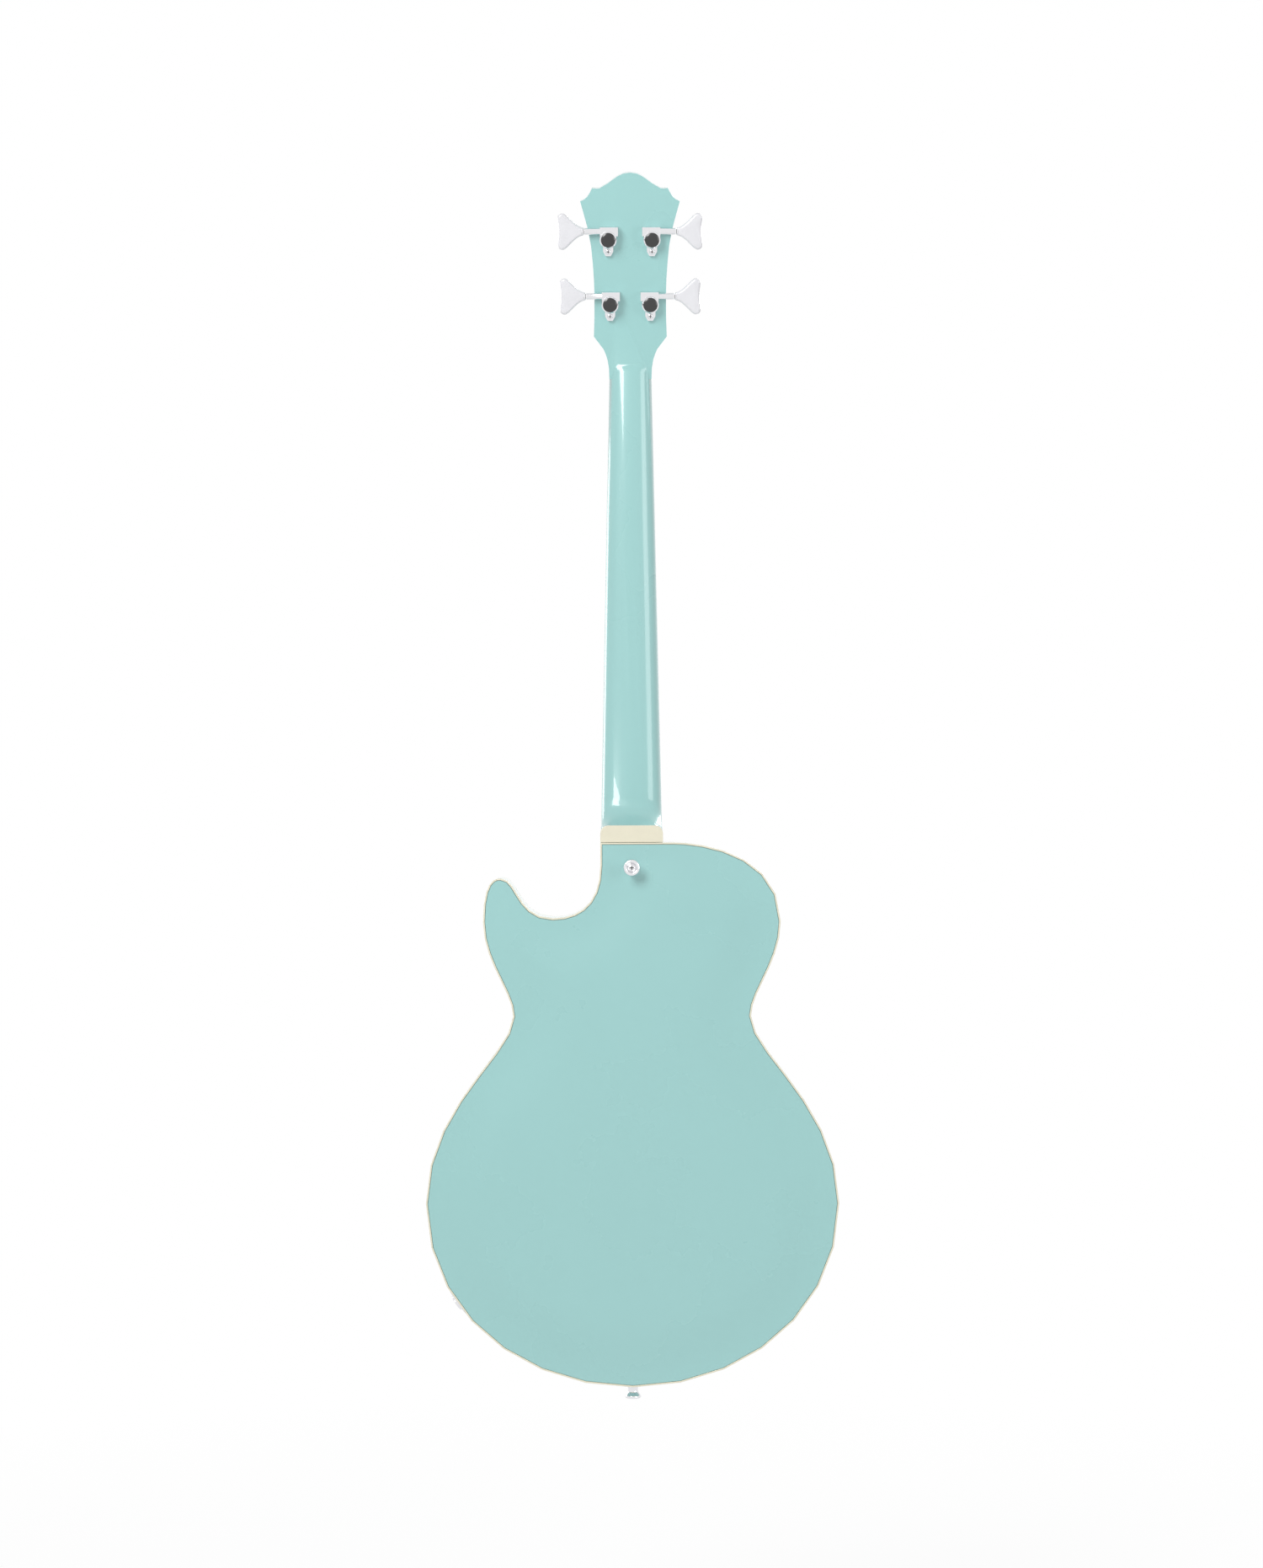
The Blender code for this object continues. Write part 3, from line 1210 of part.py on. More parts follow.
def make_tuner(name, head_frame):
    """One machine head: the fixed housing, the string post with its gear, and the key with its worm."""
    x_post, z_post, side = post_place(name)
    seat = HEAD_THICKNESS + FIT_GAP
    worm_y = seat + 0.0035
    here = {"parent": head_frame, "at": (x_post, 0.0, z_post)}
    on_worm = {"parent": head_frame, "at": (x_post, worm_y, z_post + WORM_OFFSET)}

    housing = turned(f"tuner_housing_{name}", [(CASE_RADIUS, seat), (CASE_RADIUS, seat + CASE_DEPTH - 0.0012),
                                               (CASE_RADIUS - 0.0012, seat + CASE_DEPTH)], finish=chrome(), **here)
    inner, outer = -side * WORM_BLOCK_INNER, side * WORM_BLOCK_OUTER
    half = WORM_BLOCK_HEIGHT / 2
    join(housing, box(
        f"worm_block_{name}",
        (min(inner, outer), seat, WORM_OFFSET - half),
        (max(inner, outer), seat + WORM_BLOCK_DEPTH, WORM_OFFSET + half),
        **here,
    ))
    join(housing, turned(f"arm_{name}", [(ARM_RADIUS, side * (WORM_BLOCK_OUTER - 0.001)),
                                         (ARM_RADIUS, side * ARM_REACH)], segments=12, axis="X", **on_worm))
    tab = [(-TAB_WIDTH / 2, -CASE_RADIUS / 2), (TAB_WIDTH / 2, -CASE_RADIUS / 2), (TAB_WIDTH / 2, -TAB_REACH + 0.004),
           (TAB_WIDTH / 4, -TAB_REACH), (-TAB_WIDTH / 4, -TAB_REACH), (-TAB_WIDTH / 2, -TAB_REACH + 0.004)]
    join(housing, prism(f"tab_{name}", tab, seat, seat + TAB_THICKNESS, **here))
    washer = -FIT_GAP - TUNER_WASHER_THICKNESS
    join(housing, turned(f"sleeve_{name}", [
        (SLEEVE_RADIUS, seat + 0.001), (SLEEVE_RADIUS, -FIT_GAP), (TUNER_WASHER_RADIUS, -FIT_GAP),
        (TUNER_WASHER_RADIUS, washer), (TUNER_NUT_RADIUS, washer), (TUNER_NUT_RADIUS, washer - TUNER_NUT_HEIGHT),
    ], segments=12, **here))
    bore = POST_RADIUS + POST_BORE_GAP
    cavity = (seat + 0.0006, seat + 0.0006 + GEAR_THICKNESS + 2 * FIT_GAP)
    cut(housing, turned(f"post_bore_{name}", [(bore, -0.01), (bore, cavity[0]), (CASE_CAVITY_RADIUS, cavity[0]),
                                              (CASE_CAVITY_RADIUS, cavity[1])], **here))
    cut(housing, turned(f"worm_bore_{name}", [(KEY_BORE_RADIUS, -side * (WORM_BLOCK_INNER - 0.0015)),
                                              (KEY_BORE_RADIUS, side * (ARM_REACH + 0.001))],
                        segments=12, axis="X", **on_worm))

    waist_end = -(POST_HEIGHT - POST_CAP_HEIGHT)
    gear_low = cavity[0] + FIT_GAP
    post = turned(f"string_post_{name}", [
        (POST_RADIUS, gear_low + 0.001), (POST_RADIUS, waist_end), (POST_CAP_RADIUS, waist_end - 0.0008),
        (POST_CAP_RADIUS, -POST_HEIGHT + 0.0008), (POST_CAP_RADIUS - 0.0008, -POST_HEIGHT),
    ], finish=chrome(), **here)
    teeth = []
    for i in range(2 * GEAR_TEETH):
        radius = GEAR_RADIUS if i % 2 else GEAR_RADIUS - GEAR_TOOTH_DEPTH
        turn = math.pi * i / GEAR_TEETH
        teeth.append((radius * math.cos(turn), radius * math.sin(turn)))
    join(post, prism(f"gear_{name}", teeth, gear_low, gear_low + GEAR_THICKNESS, **here))
    cut(post, box(
        f"post_slot_{name}",
        (-0.01, -POST_HEIGHT - 0.001, -POST_SLOT_WIDTH / 2),
        (0.01, -POST_HEIGHT + POST_SLOT_DEPTH, POST_SLOT_WIDTH / 2),
        **here,
    ))

    key = turned(f"tuner_key_{name}", [
        (KEY_SHAFT_RADIUS, -side * (WORM_BLOCK_INNER - 0.002)), (KEY_SHAFT_RADIUS, side * (ARM_REACH + FIT_GAP)),
        (KEY_COLLAR_RADIUS, side * (ARM_REACH + FIT_GAP)), (KEY_COLLAR_RADIUS, side * (ARM_REACH + KEY_COLLAR_LENGTH + 0.003)),
    ], segments=12, axis="X", finish=material("white_plastic", (0.86, 0.86, 0.88), 0.3), **on_worm)
    join(key, prism(f"button_{name}", button_outline(side), -BUTTON_THICKNESS / 2, BUTTON_THICKNESS / 2, **on_worm))


def button_outline(side):
    """The key's button in its flat plane: a stem that spreads into two lobes."""
    start = ARM_REACH + FIT_GAP + KEY_COLLAR_LENGTH
    end = start + BUTTON_LENGTH
    lobe_x = end - BUTTON_LOBE_RADIUS
    lobe_z = BUTTON_HALF_HEIGHT - BUTTON_LOBE_RADIUS
    upper = bezier(
        (start, BUTTON_STEM_HALF), (start + 0.006, BUTTON_STEM_HALF + 0.0008),
        (lobe_x - 0.008, lobe_z - 0.001), (lobe_x - 0.0025, lobe_z + 0.0035), 5,
    )
    for step in range(5):
        turn = math.radians(110 - 120 * step / 4)
        upper.append((lobe_x + BUTTON_LOBE_RADIUS * math.cos(turn), lobe_z + BUTTON_LOBE_RADIUS * math.sin(turn)))
    upper.append((end - BUTTON_HOLLOW, 0.0))
    lower = [(x, -z) for x, z in reversed(upper[:-1])]
    return [(side * x, z) for x, z in [*upper, *lower]]


# Bridge and tailpiece

def make_bridge():
    half = BRIDGE_WIDTH / 2
    reach = BRIDGE_LENGTH / 2
    top_y = BRIDGE_FLOOR_Y - BRIDGE_HEIGHT
    ends = [(-half, -reach * 0.5), (-half + 0.006, -reach), (half - 0.006, -reach), (half, -reach * 0.5),
            (half, reach * 0.5), (half - 0.006, reach), (-half + 0.006, reach), (-half, reach * 0.5)]
    bar = prism("bridge", [(x, BRIDGE_Z + z) for x, z in ends], top_y, BRIDGE_FLOOR_Y, finish=chrome())
    channel_floor = top_y + SADDLE_CHANNEL_DEPTH
    channel_half = string_x("g", STRING_SPREAD_AT_BRIDGE) + SADDLE_WIDTH / 2 + 2 * FIT_GAP
    cut(bar, box(
        "saddle_channel",
        (-channel_half, top_y - 0.005, BRIDGE_Z - SADDLE_CHANNEL_LENGTH / 2),
        (channel_half, channel_floor, BRIDGE_Z + SADDLE_CHANNEL_LENGTH / 2),
    ))
    post_top = BRIDGE_FLOOR_Y - BRIDGE_POST_REACH
    for label, side in (("bass", -1), ("treble", 1)):
        x = side * BRIDGE_POST_X
        bore = BRIDGE_POST_RADIUS + FIT_GAP
        cut(bar, turned(f"bridge_bore_{label}", [(bore, BRIDGE_FLOOR_Y + 0.005), (bore, post_top - FIT_GAP)],
                        at=(x, 0.0, BRIDGE_Z)))
        wheel = BRIDGE_FLOOR_Y + FIT_GAP
        turned(f"bridge_post_{label}", [
            (BRIDGE_POST_RADIUS, TOP_SURFACE_Y + PLATE_THICKNESS + STUD_BURIED),
            (BRIDGE_POST_RADIUS, wheel + THUMBWHEEL_THICKNESS),
            (THUMBWHEEL_RADIUS, wheel + THUMBWHEEL_THICKNESS),
            (THUMBWHEEL_RADIUS, wheel),
            (BRIDGE_POST_RADIUS, wheel),
            (BRIDGE_POST_RADIUS, post_top),
        ], finish=chrome(), at=(x, 0.0, BRIDGE_Z))
    for name in STRING_NAMES:
        make_saddle(name, channel_floor - FIT_GAP)


def make_saddle(name, foot):
    """A string's saddle, which slides along its channel. Its origin is on the string's resting point."""
    top = saddle_top(name)
    crest = FIT_GAP
    base = foot - top.y
    half = SADDLE_LENGTH / 2
    shoulder = crest + 0.45 * (base - crest)
    profile = [(-half, base), (half, base), (half, shoulder), (SADDLE_CREST_LENGTH / 2, crest),
               (-SADDLE_CREST_LENGTH / 2, crest), (-half, shoulder)]
    sections = [
        [(x, y, z) for z, y in profile]
        for x in (-SADDLE_WIDTH / 2, SADDLE_WIDTH / 2)
    ]
    loft(f"saddle_{name}", sections, finish=chrome(), at=top)


def make_tailpiece():
    half = TAILPIECE_WIDTH / 2
    reach = TAILPIECE_LENGTH / 2
    top_y = TAILPIECE_FLOOR_Y - TAILPIECE_HEIGHT
    crown = [(-reach, TAILPIECE_FLOOR_Y), (reach, TAILPIECE_FLOOR_Y), (reach, top_y + 0.004),
             (reach * 0.6, top_y + 0.001), (0.0, top_y), (-reach * 0.6, top_y + 0.001), (-reach, top_y + 0.004)]
    bar = loft("tailpiece", [
        [(x, y, TAILPIECE_Z + z) for z, y in crown] for x in (-half, half)
    ], finish=chrome())
    for name in STRING_NAMES:
        ends = [tailpiece_hole_end(name, reach + 0.01), tailpiece_hole_end(name, -reach - 0.01)]
        along = (ends[1] - ends[0])
        radius = STRING_DIAMETERS["e"] / 2 + TAILPIECE_STRING_HOLE_GAP
        hole = turned(f"tail_hole_{name}", [(radius, 0.0), (radius, along.length)], segments=10, axis="Z", at=ends[0])
        hole.rotation_euler = along.to_track_quat("Z", "Y").to_euler()
        cut(bar, hole)
    for label, side in (("bass", -1), ("treble", 1)):
        x = side * TAIL_STUD_X
        slot = TAIL_STUD_RADIUS + FIT_GAP
        cut(bar, box(f"stud_slot_{label}", (x - slot, top_y - 0.005, TAILPIECE_Z),
                     (x + slot, TAILPIECE_FLOOR_Y + 0.005, TAILPIECE_Z + reach + 0.005)))
        cut(bar, turned(f"stud_seat_{label}", [(slot, TAILPIECE_FLOOR_Y + 0.006), (slot, top_y - 0.006)],
                        at=(x, 0.0, TAILPIECE_Z)))
        flange = TAILPIECE_FLOOR_Y + FIT_GAP
        head = top_y - FIT_GAP
        turned(f"tailpiece_stud_{label}", [
            (TAIL_STUD_RADIUS, TOP_SURFACE_Y + PLATE_THICKNESS + STUD_BURIED),
            (TAIL_STUD_RADIUS, flange + TAIL_STUD_FLANGE_THICKNESS),
            (TAIL_STUD_FLANGE_RADIUS, flange + TAIL_STUD_FLANGE_THICKNESS),
            (TAIL_STUD_FLANGE_RADIUS, flange),
            (TAIL_STUD_RADIUS, flange),
            (TAIL_STUD_RADIUS, head),
            (TAIL_STUD_FLANGE_RADIUS, head),
            (TAIL_STUD_FLANGE_RADIUS, head - TAIL_STUD_HEAD_THICKNESS),
        ], finish=chrome(), at=(x, 0.0, TAILPIECE_Z))


# Pickups and controls

def rounded_rectangle(half_x, half_z, radius, centre_z):
    outline = []
    for sign_x, sign_z, first in ((1, 1, 0), (-1, 1, 90), (-1, -1, 180), (1, -1, 270)):
        for step in range(3):
            turn = math.radians(first + 45 * step)
            outline.append((
                sign_x * (half_x - radius) + radius * math.cos(turn),
                centre_z + sign_z * (half_z - radius) + radius * math.sin(turn),
            ))
    return outline


def make_pickups():
    for name, z, face_y in pickup_places():
        half_x, half_z = PICKUP_WIDTH / 2, PICKUP_LENGTH / 2
        outline = rounded_rectangle(half_x, half_z, PICKUP_CORNER, z)
        prism(f"{name}_pickup", outline, face_y, face_y + PICKUP_DEPTH, finish=chrome())
        rim_x, rim_z = half_x + RING_MARGIN, half_z + RING_MARGIN
        ring = prism(
            f"{name}_pickup_ring", rounded_rectangle(rim_x, rim_z, PICKUP_CORNER, z),
            face_y + RING_REVEAL, TOP_SURFACE_Y + TOP_ARCH, finish=material("black_plastic", (0.02, 0.02, 0.02), 0.3),
        )
        gap = RING_OPENING_GAP
        cut(ring, prism(f"{name}_ring_opening", rounded_rectangle(half_x + gap, half_z + gap, PICKUP_CORNER, z),
                        -TRIM_REACH - 0.01, 0.0))
        cut(ring, arched_slab(f"{name}_ring_trim", TOP_ARCH, -1, None, FIT_GAP))


def make_controls():
    black = material("black_plastic", (0.02, 0.02, 0.02), 0.3)
    for name in CONTROL_NAMES:
        x, z = CONTROL_X[name], BODY_BOTTOM + CONTROL_HEIGHTS[name]
        inner = -surface_range(x, z, POT_RADIUS, TOP_ARCH)[0] + PLATE_THICKNESS + FIT_GAP
        nut = -surface_range(x, z, POT_NUT_RADIUS, TOP_ARCH)[1] - FIT_GAP
        nut_top = nut - POT_NUT_HEIGHT
        bore = KNOB_SHAFT_RADIUS + POT_SHAFT_GAP
        pot = turned(f"{name}_pot", [
            (POT_RADIUS, inner + POT_CAN_DEPTH), (POT_RADIUS, inner), (POT_BUSHING_RADIUS, inner),
            (POT_BUSHING_RADIUS, nut), (POT_NUT_RADIUS, nut), (POT_NUT_RADIUS, nut_top),
        ], finish=material("steel", (0.45, 0.45, 0.47), 0.35, 1.0), at=(x, 0.0, z))
        shaft_foot = inner + POT_CAN_DEPTH / 2
        cut(pot, turned(f"{name}_shaft_bore", [(bore, shaft_foot + FIT_GAP), (bore, nut_top - 0.005)],
                        segments=12, at=(x, 0.0, z)))
        foot = -surface_range(x, z, KNOB_RADIUS, TOP_ARCH)[1] - KNOB_LIFT
        top_y = foot - KNOB_HEIGHT
        knob = turned(f"{name}_knob", [
            (KNOB_RADIUS, foot), (KNOB_RADIUS, foot - 0.002), (KNOB_TOP_RADIUS, top_y + 0.001),
            (KNOB_TOP_RADIUS - 0.001, top_y),
        ], segments=20, finish=black, at=(x, 0.0, z))
        cut(knob, turned(f"{name}_recess", [(KNOB_RECESS_RADIUS, foot + 0.005), (KNOB_RECESS_RADIUS, foot - KNOB_RECESS_DEPTH)],
                         segments=12, at=(x, 0.0, z)))
        join(knob, turned(f"{name}_shaft", [(KNOB_SHAFT_RADIUS, shaft_foot), (KNOB_SHAFT_RADIUS, foot - KNOB_HEIGHT / 2)],
                          segments=12, at=(x, 0.0, z)))
    make_switch()


def make_switch():
    z = BODY_TOP - SWITCH_DROP
    at = (SWITCH_X, 0.0, z)
    inner = -surface_range(SWITCH_X, z, SWITCH_BODY_LENGTH * 0.62, TOP_ARCH)[0] + PLATE_THICKNESS + FIT_GAP
    nut = -surface_range(SWITCH_X, z, SWITCH_NUT_RADIUS, TOP_ARCH)[1] - FIT_GAP
    nut_top = nut - SWITCH_NUT_HEIGHT
    half_x, half_z = SWITCH_BODY_WIDTH / 2, SWITCH_BODY_LENGTH / 2
    steel = material("steel", (0.45, 0.45, 0.47), 0.35, 1.0)
    body = box("selector_switch", (-half_x, inner, -half_z), (half_x, inner + SWITCH_BODY_DEPTH, half_z),
               finish=steel, at=at)
    join(body, turned("switch_bushing", [
        (SWITCH_BUSHING_RADIUS, inner + 0.001), (SWITCH_BUSHING_RADIUS, nut), (SWITCH_NUT_RADIUS, nut),
        (SWITCH_NUT_RADIUS, nut_top),
    ], at=at))
    cut(body, turned("switch_bore", [(SWITCH_BORE_RADIUS, inner + LEVER_FOOT + 0.002), (SWITCH_BORE_RADIUS, nut_top - 0.005)],
                     segments=12, at=at))
    pivot = (SWITCH_X, inner, z)
    tip = -LEVER_LENGTH
    turned("selector_lever", [
        (LEVER_RADIUS, LEVER_FOOT), (LEVER_RADIUS, tip + LEVER_TIP_LENGTH), (LEVER_TIP_RADIUS, tip + 0.6 * LEVER_TIP_LENGTH),
        (LEVER_TIP_RADIUS, tip + 0.25 * LEVER_TIP_LENGTH), (LEVER_TIP_RADIUS * 0.6, tip),
    ], segments=12, finish=cream_plastic(), at=pivot)


# Fittings on the body's edge

def jack_frame():
    """A frame on the rim, its Z pointing straight out of the side."""
    target = BODY_BOTTOM + JACK_HEIGHT
    treble = [i for i in range(len(OUTLINE) - 1) if OUTLINE[i][0] > 0 and OUTLINE[i][1] <= target < OUTLINE[i + 1][1]]
    first, second = Vector(OUTLINE[treble[0]]), Vector(OUTLINE[treble[0] + 1])
    spot = first + (second - first) * 0.5
    along = (second - first).normalized()
    out = Vector((along.y, 0.0, -along.x))
    depth = Vector((0.0, 1.0, 0.0))
    across = depth.cross(out)
    turn = Matrix((across, depth, out)).transposed().to_4x4()
    return Matrix.Translation((spot.x, 0.0, spot.y)) @ turn


def heel_button_frame():
    """A frame on the back at the heel, its Z pointing straight back."""
    z = BODY_TOP - HEEL_BUTTON_DROP
    surface = RIM_Y + arch_rise(0.0, z, BACK_ARCH)
    return Matrix.Translation((0.0, surface, z)) @ Matrix.Rotation(-math.pi / 2, 4, "X")


def end_button_frame():
    """A frame on the body's bottom edge, its Z pointing down."""
    return Matrix.Translation((0.0, 0.0, BODY_BOTTOM)) @ Matrix.Rotation(math.pi, 4, "X")


def round_cutter(name, radius, frame, depth=0.05):
    """A round hole along a frame's Z, from above its surface to a depth below it."""
    return turned(name, [(radius, -depth), (radius, 0.01)], segments=12, axis="Z",
                  parent=frame_empty(f"{name}_frame", frame))


def make_strap_buttons():
    for name, frame in (("heel_strap_button", heel_button_frame()), ("end_strap_button", end_button_frame())):
        height = STRAP_BUTTON_HEIGHT
        base = HEEL_BUTTON_LIFT if name == "heel_strap_button" else FIT_GAP
        turned(name, [
            (STRAP_SCREW_RADIUS, -STRAP_SCREW_LENGTH), (STRAP_SCREW_RADIUS, base), (BUTTON_RADIUS * 0.9, base),
            (BUTTON_RADIUS * 0.86, base + 0.0016), (BUTTON_WAIST_RADIUS, base + 0.005),
            (BUTTON_WAIST_RADIUS, base + height * 0.62), (BUTTON_RADIUS, base + height * 0.85),
            (BUTTON_RADIUS, base + height - 0.0006), (BUTTON_RADIUS - 0.0006, base + height),
        ], axis="Z", finish=chrome(), parent=frame_empty(f"{name}_frame", frame))


def make_jack():
    frame = frame_empty("jack_frame", jack_frame())
    plate_foot = FIT_GAP
    plate_top = plate_foot + JACK_PLATE_THICKNESS
    plate = turned("jack_plate", [(JACK_PLATE_RADIUS, plate_foot), (JACK_PLATE_RADIUS - 0.0004, plate_top)],
                   segments=20, axis="Z", finish=chrome(), parent=frame)
    hole = JACK_HOLE_RADIUS
    cut(plate, turned("jack_plate_hole", [(hole, -0.005), (hole, 0.01)], axis="Z", parent=frame))
    inner = -SIDE_THICKNESS - FIT_GAP - 0.0006
    nut = plate_top + FIT_GAP
    jack = turned("output_jack", [
        (JACK_BARREL_RADIUS, -JACK_DEPTH), (JACK_BARREL_RADIUS, inner - JACK_FRAME_DEPTH),
        (JACK_FRAME_RADIUS, inner - JACK_FRAME_DEPTH), (JACK_FRAME_RADIUS, inner),
        (JACK_BARREL_RADIUS, inner), (JACK_BARREL_RADIUS, nut),
        (JACK_NUT_RADIUS, nut), (JACK_NUT_RADIUS, nut + JACK_NUT_HEIGHT),
    ], segments=12, axis="Z", finish=chrome(), parent=frame)
    cut(jack, turned("jack_bore", [(JACK_BORE_RADIUS, -JACK_DEPTH + 0.002), (JACK_BORE_RADIUS, 0.02)],
                     segments=12, axis="Z", parent=frame))


def main():
    clear_scene()
    neck_frame = frame_empty("neck_frame", NECK_FRAME)
    head_frame = frame_empty("head_frame", HEAD_FRAME)
    make_body_shell()
    make_body_inside()
    make_neck(neck_frame, head_frame)
    make_strings()
    for name in STRING_NAMES:
        make_tuner(name, head_frame)
    make_bridge()
    make_tailpiece()
    make_pickups()
    make_controls()
    make_strap_buttons()
    make_jack()


main()
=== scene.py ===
"""The looks of the hollow-body bass guitar, built round its frame. Metres, front -Y, +Z up the neck."""

import json
import math

import bmesh
import bpy
import numpy as np
from mathutils import Matrix, Vector

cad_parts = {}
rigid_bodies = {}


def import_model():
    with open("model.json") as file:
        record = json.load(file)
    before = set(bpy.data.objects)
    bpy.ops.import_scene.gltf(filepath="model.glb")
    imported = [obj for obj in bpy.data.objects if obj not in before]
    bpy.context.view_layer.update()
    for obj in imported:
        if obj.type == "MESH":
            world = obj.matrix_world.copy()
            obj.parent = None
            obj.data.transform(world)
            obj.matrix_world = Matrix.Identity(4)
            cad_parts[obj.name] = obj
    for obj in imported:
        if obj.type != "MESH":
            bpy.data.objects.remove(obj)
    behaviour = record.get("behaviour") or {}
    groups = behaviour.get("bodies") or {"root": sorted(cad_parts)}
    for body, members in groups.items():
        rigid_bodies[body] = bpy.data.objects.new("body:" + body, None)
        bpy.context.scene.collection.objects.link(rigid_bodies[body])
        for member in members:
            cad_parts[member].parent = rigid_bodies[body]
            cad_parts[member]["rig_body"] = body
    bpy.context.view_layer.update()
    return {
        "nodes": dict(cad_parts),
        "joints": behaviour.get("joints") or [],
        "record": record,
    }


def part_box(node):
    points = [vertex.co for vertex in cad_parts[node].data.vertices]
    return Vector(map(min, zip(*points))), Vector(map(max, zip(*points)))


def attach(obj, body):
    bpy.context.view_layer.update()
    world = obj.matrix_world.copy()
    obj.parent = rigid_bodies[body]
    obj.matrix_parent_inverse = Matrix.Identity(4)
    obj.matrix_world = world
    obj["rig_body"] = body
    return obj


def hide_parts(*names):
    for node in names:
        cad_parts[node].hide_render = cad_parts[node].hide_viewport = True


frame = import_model()
JOINTS = {joint["name"]: joint for joint in frame["joints"]}
STRING_NAMES = ("e", "a", "d", "g")

# Camera, from the photograph
CAMERA_DISTANCE = 2.794
CAMERA_HEIGHT = 0.5477
CAMERA_LENS = 72.5
CAMERA_ROLL = math.radians(0.15)
SENSOR = 36.0

# Studio
FLOOR_Z = -0.30
FLOOR_HALF = 6.0
SHADOW_REACH = 0.5
SHADOW_FADE = 1.6
WORLD_LEVEL = 0.38
NEAR_GLOW = 0.8
# Lamps behind the instrument: kind, place, size and power. The same pair stands mirrored in front.
LAMPS = (("key", (1.0, 1.7, 1.75), (0.9, 1.2), 30.0), ("fill", (-2.0, 1.7, 1.0), (1.2, 1.6), 14.0))

# Body plates
RIM_FLAT = 0.008
ARCH_SPAN = 0.048
PLATE_THICKNESS = 0.004
FINE_GRID = 0.006
CORNER_TURN = math.radians(40)
CURVE_STEPS = 4
CUTTER_DEPTH = 0.2
PLATE_MIN_FACES = 500

# Copies of the frame's solids, and their rims
MERGE_DISTANCE = 1e-6
FLAT_TURN = math.radians(0.5)
RIM_TURN = math.radians(40)
BINDING_RIM = 0.0004
HOUSING_RIM = 0.00025
POST_RIM = 0.00015
FITTING_RIM = 0.0003
RING_RIM = 0.0006

# Fretboard
SCALE_LENGTH = 0.770
FRET_COUNT = 22
FRET_WIDTH = 0.0024
FRET_HEIGHT = 0.0010
FRET_LIFT = 0.00005
FRET_TANG = 0.001
FRET_INSET = 0.0006
BOARD_RADIUS = 0.305
BOARD_THICKNESS = 0.0055
BOARD_BINDING = 0.0015
MARKER_RADIUS = 0.0031
MARKER_PAIR_HALF = 0.011
MARKED_FRETS = (3, 5, 7, 9, 12, 15, 17, 19, 21)
NUT_SPREAD = 0.0285

# Tuners
CASE_END = 0.0240
CAP_RADIUS = 0.0064
TAB_SCREW_DROP = 0.0108
TAB_FACE = 0.0175
BUTTON_START = 0.0223
BUTTON_LENGTH = 0.0224
BUTTON_HALF_HEIGHT = 0.016
BUTTON_STEM_HALF = 0.0035
BUTTON_LOBE_RADIUS = 0.0043
BUTTON_HOLLOW = 0.0012
BUTTON_THICKNESS = 0.007
COLLAR_RADIUS = 0.0034
BUTTON_EDGE = 0.0024
TAB_SCREW_RADIUS = 0.0025

# Fittings
BUTTON_DISH = 0.0022
BUTTON_SCREW_RADIUS = 0.0034
POLE_DROP = 0.0105
POLE_RADIUS = 0.0026
RING_SCREW_RADIUS = 0.0016
RING_SCREW_INSET = 0.0031
KNOB_HEIGHT = 0.0145
KNOB_SEGMENTS = 144
KNOB_FLUTES = 24
FLUTE_DEPTH = 0.05
POINTER_HALF = 0.0006
PICKUP_CORNER = 0.003
PICKUP_EDGE = 0.0009


# Materials

def node_tree(name):
    material = bpy.data.materials.new(name)
    material.use_nodes = True
    tree = material.node_tree
    return material, tree, tree.nodes["Principled BSDF"]


def finish(name, colour, roughness, metallic=0.0, coat=0.0, tone=0.04, grain=45.0, bump=0.03, spread=0.05,
           stretch=(1, 1, 1)):
    """A surface whose colour, gloss and relief all vary a little, as made things do."""
    material, tree, shader = node_tree(name)
    place = tree.nodes.new("ShaderNodeTexCoord")
    mapping = tree.nodes.new("ShaderNodeMapping")
    mapping.inputs["Scale"].default_value = stretch
    noise = tree.nodes.new("ShaderNodeTexNoise")
    noise.inputs["Scale"].default_value = grain
    noise.inputs["Detail"].default_value = 6.0
    mix = tree.nodes.new("ShaderNodeMix")
    mix.data_type = "RGBA"
    mix.inputs[6].default_value = (*[c * (1 - tone) for c in colour], 1.0)
    mix.inputs[7].default_value = (*[min(c * (1 + tone), 1.0) for c in colour], 1.0)
    gloss = tree.nodes.new("ShaderNodeMapRange")
    gloss.inputs["To Min"].default_value = max(roughness - spread, 0.02)
    gloss.inputs["To Max"].default_value = roughness + spread
    relief = tree.nodes.new("ShaderNodeBump")
    relief.inputs["Strength"].default_value = bump
    relief.inputs["Distance"].default_value = 0.0003
    link = tree.links.new
    link(place.outputs["Object"], mapping.inputs["Vector"])
    link(mapping.outputs["Vector"], noise.inputs["Vector"])
    link(noise.outputs["Fac"], mix.inputs[0])
    link(mix.outputs[2], shader.inputs["Base Color"])
    link(noise.outputs["Fac"], gloss.inputs["Value"])
    link(gloss.outputs["Result"], shader.inputs["Roughness"])
    link(noise.outputs["Fac"], relief.inputs["Height"])
    link(relief.outputs["Normal"], shader.inputs["Normal"])
    shader.inputs["Metallic"].default_value = metallic
    shader.inputs["Coat Weight"].default_value = coat
    shader.inputs["Coat Roughness"].default_value = 0.04
    return material


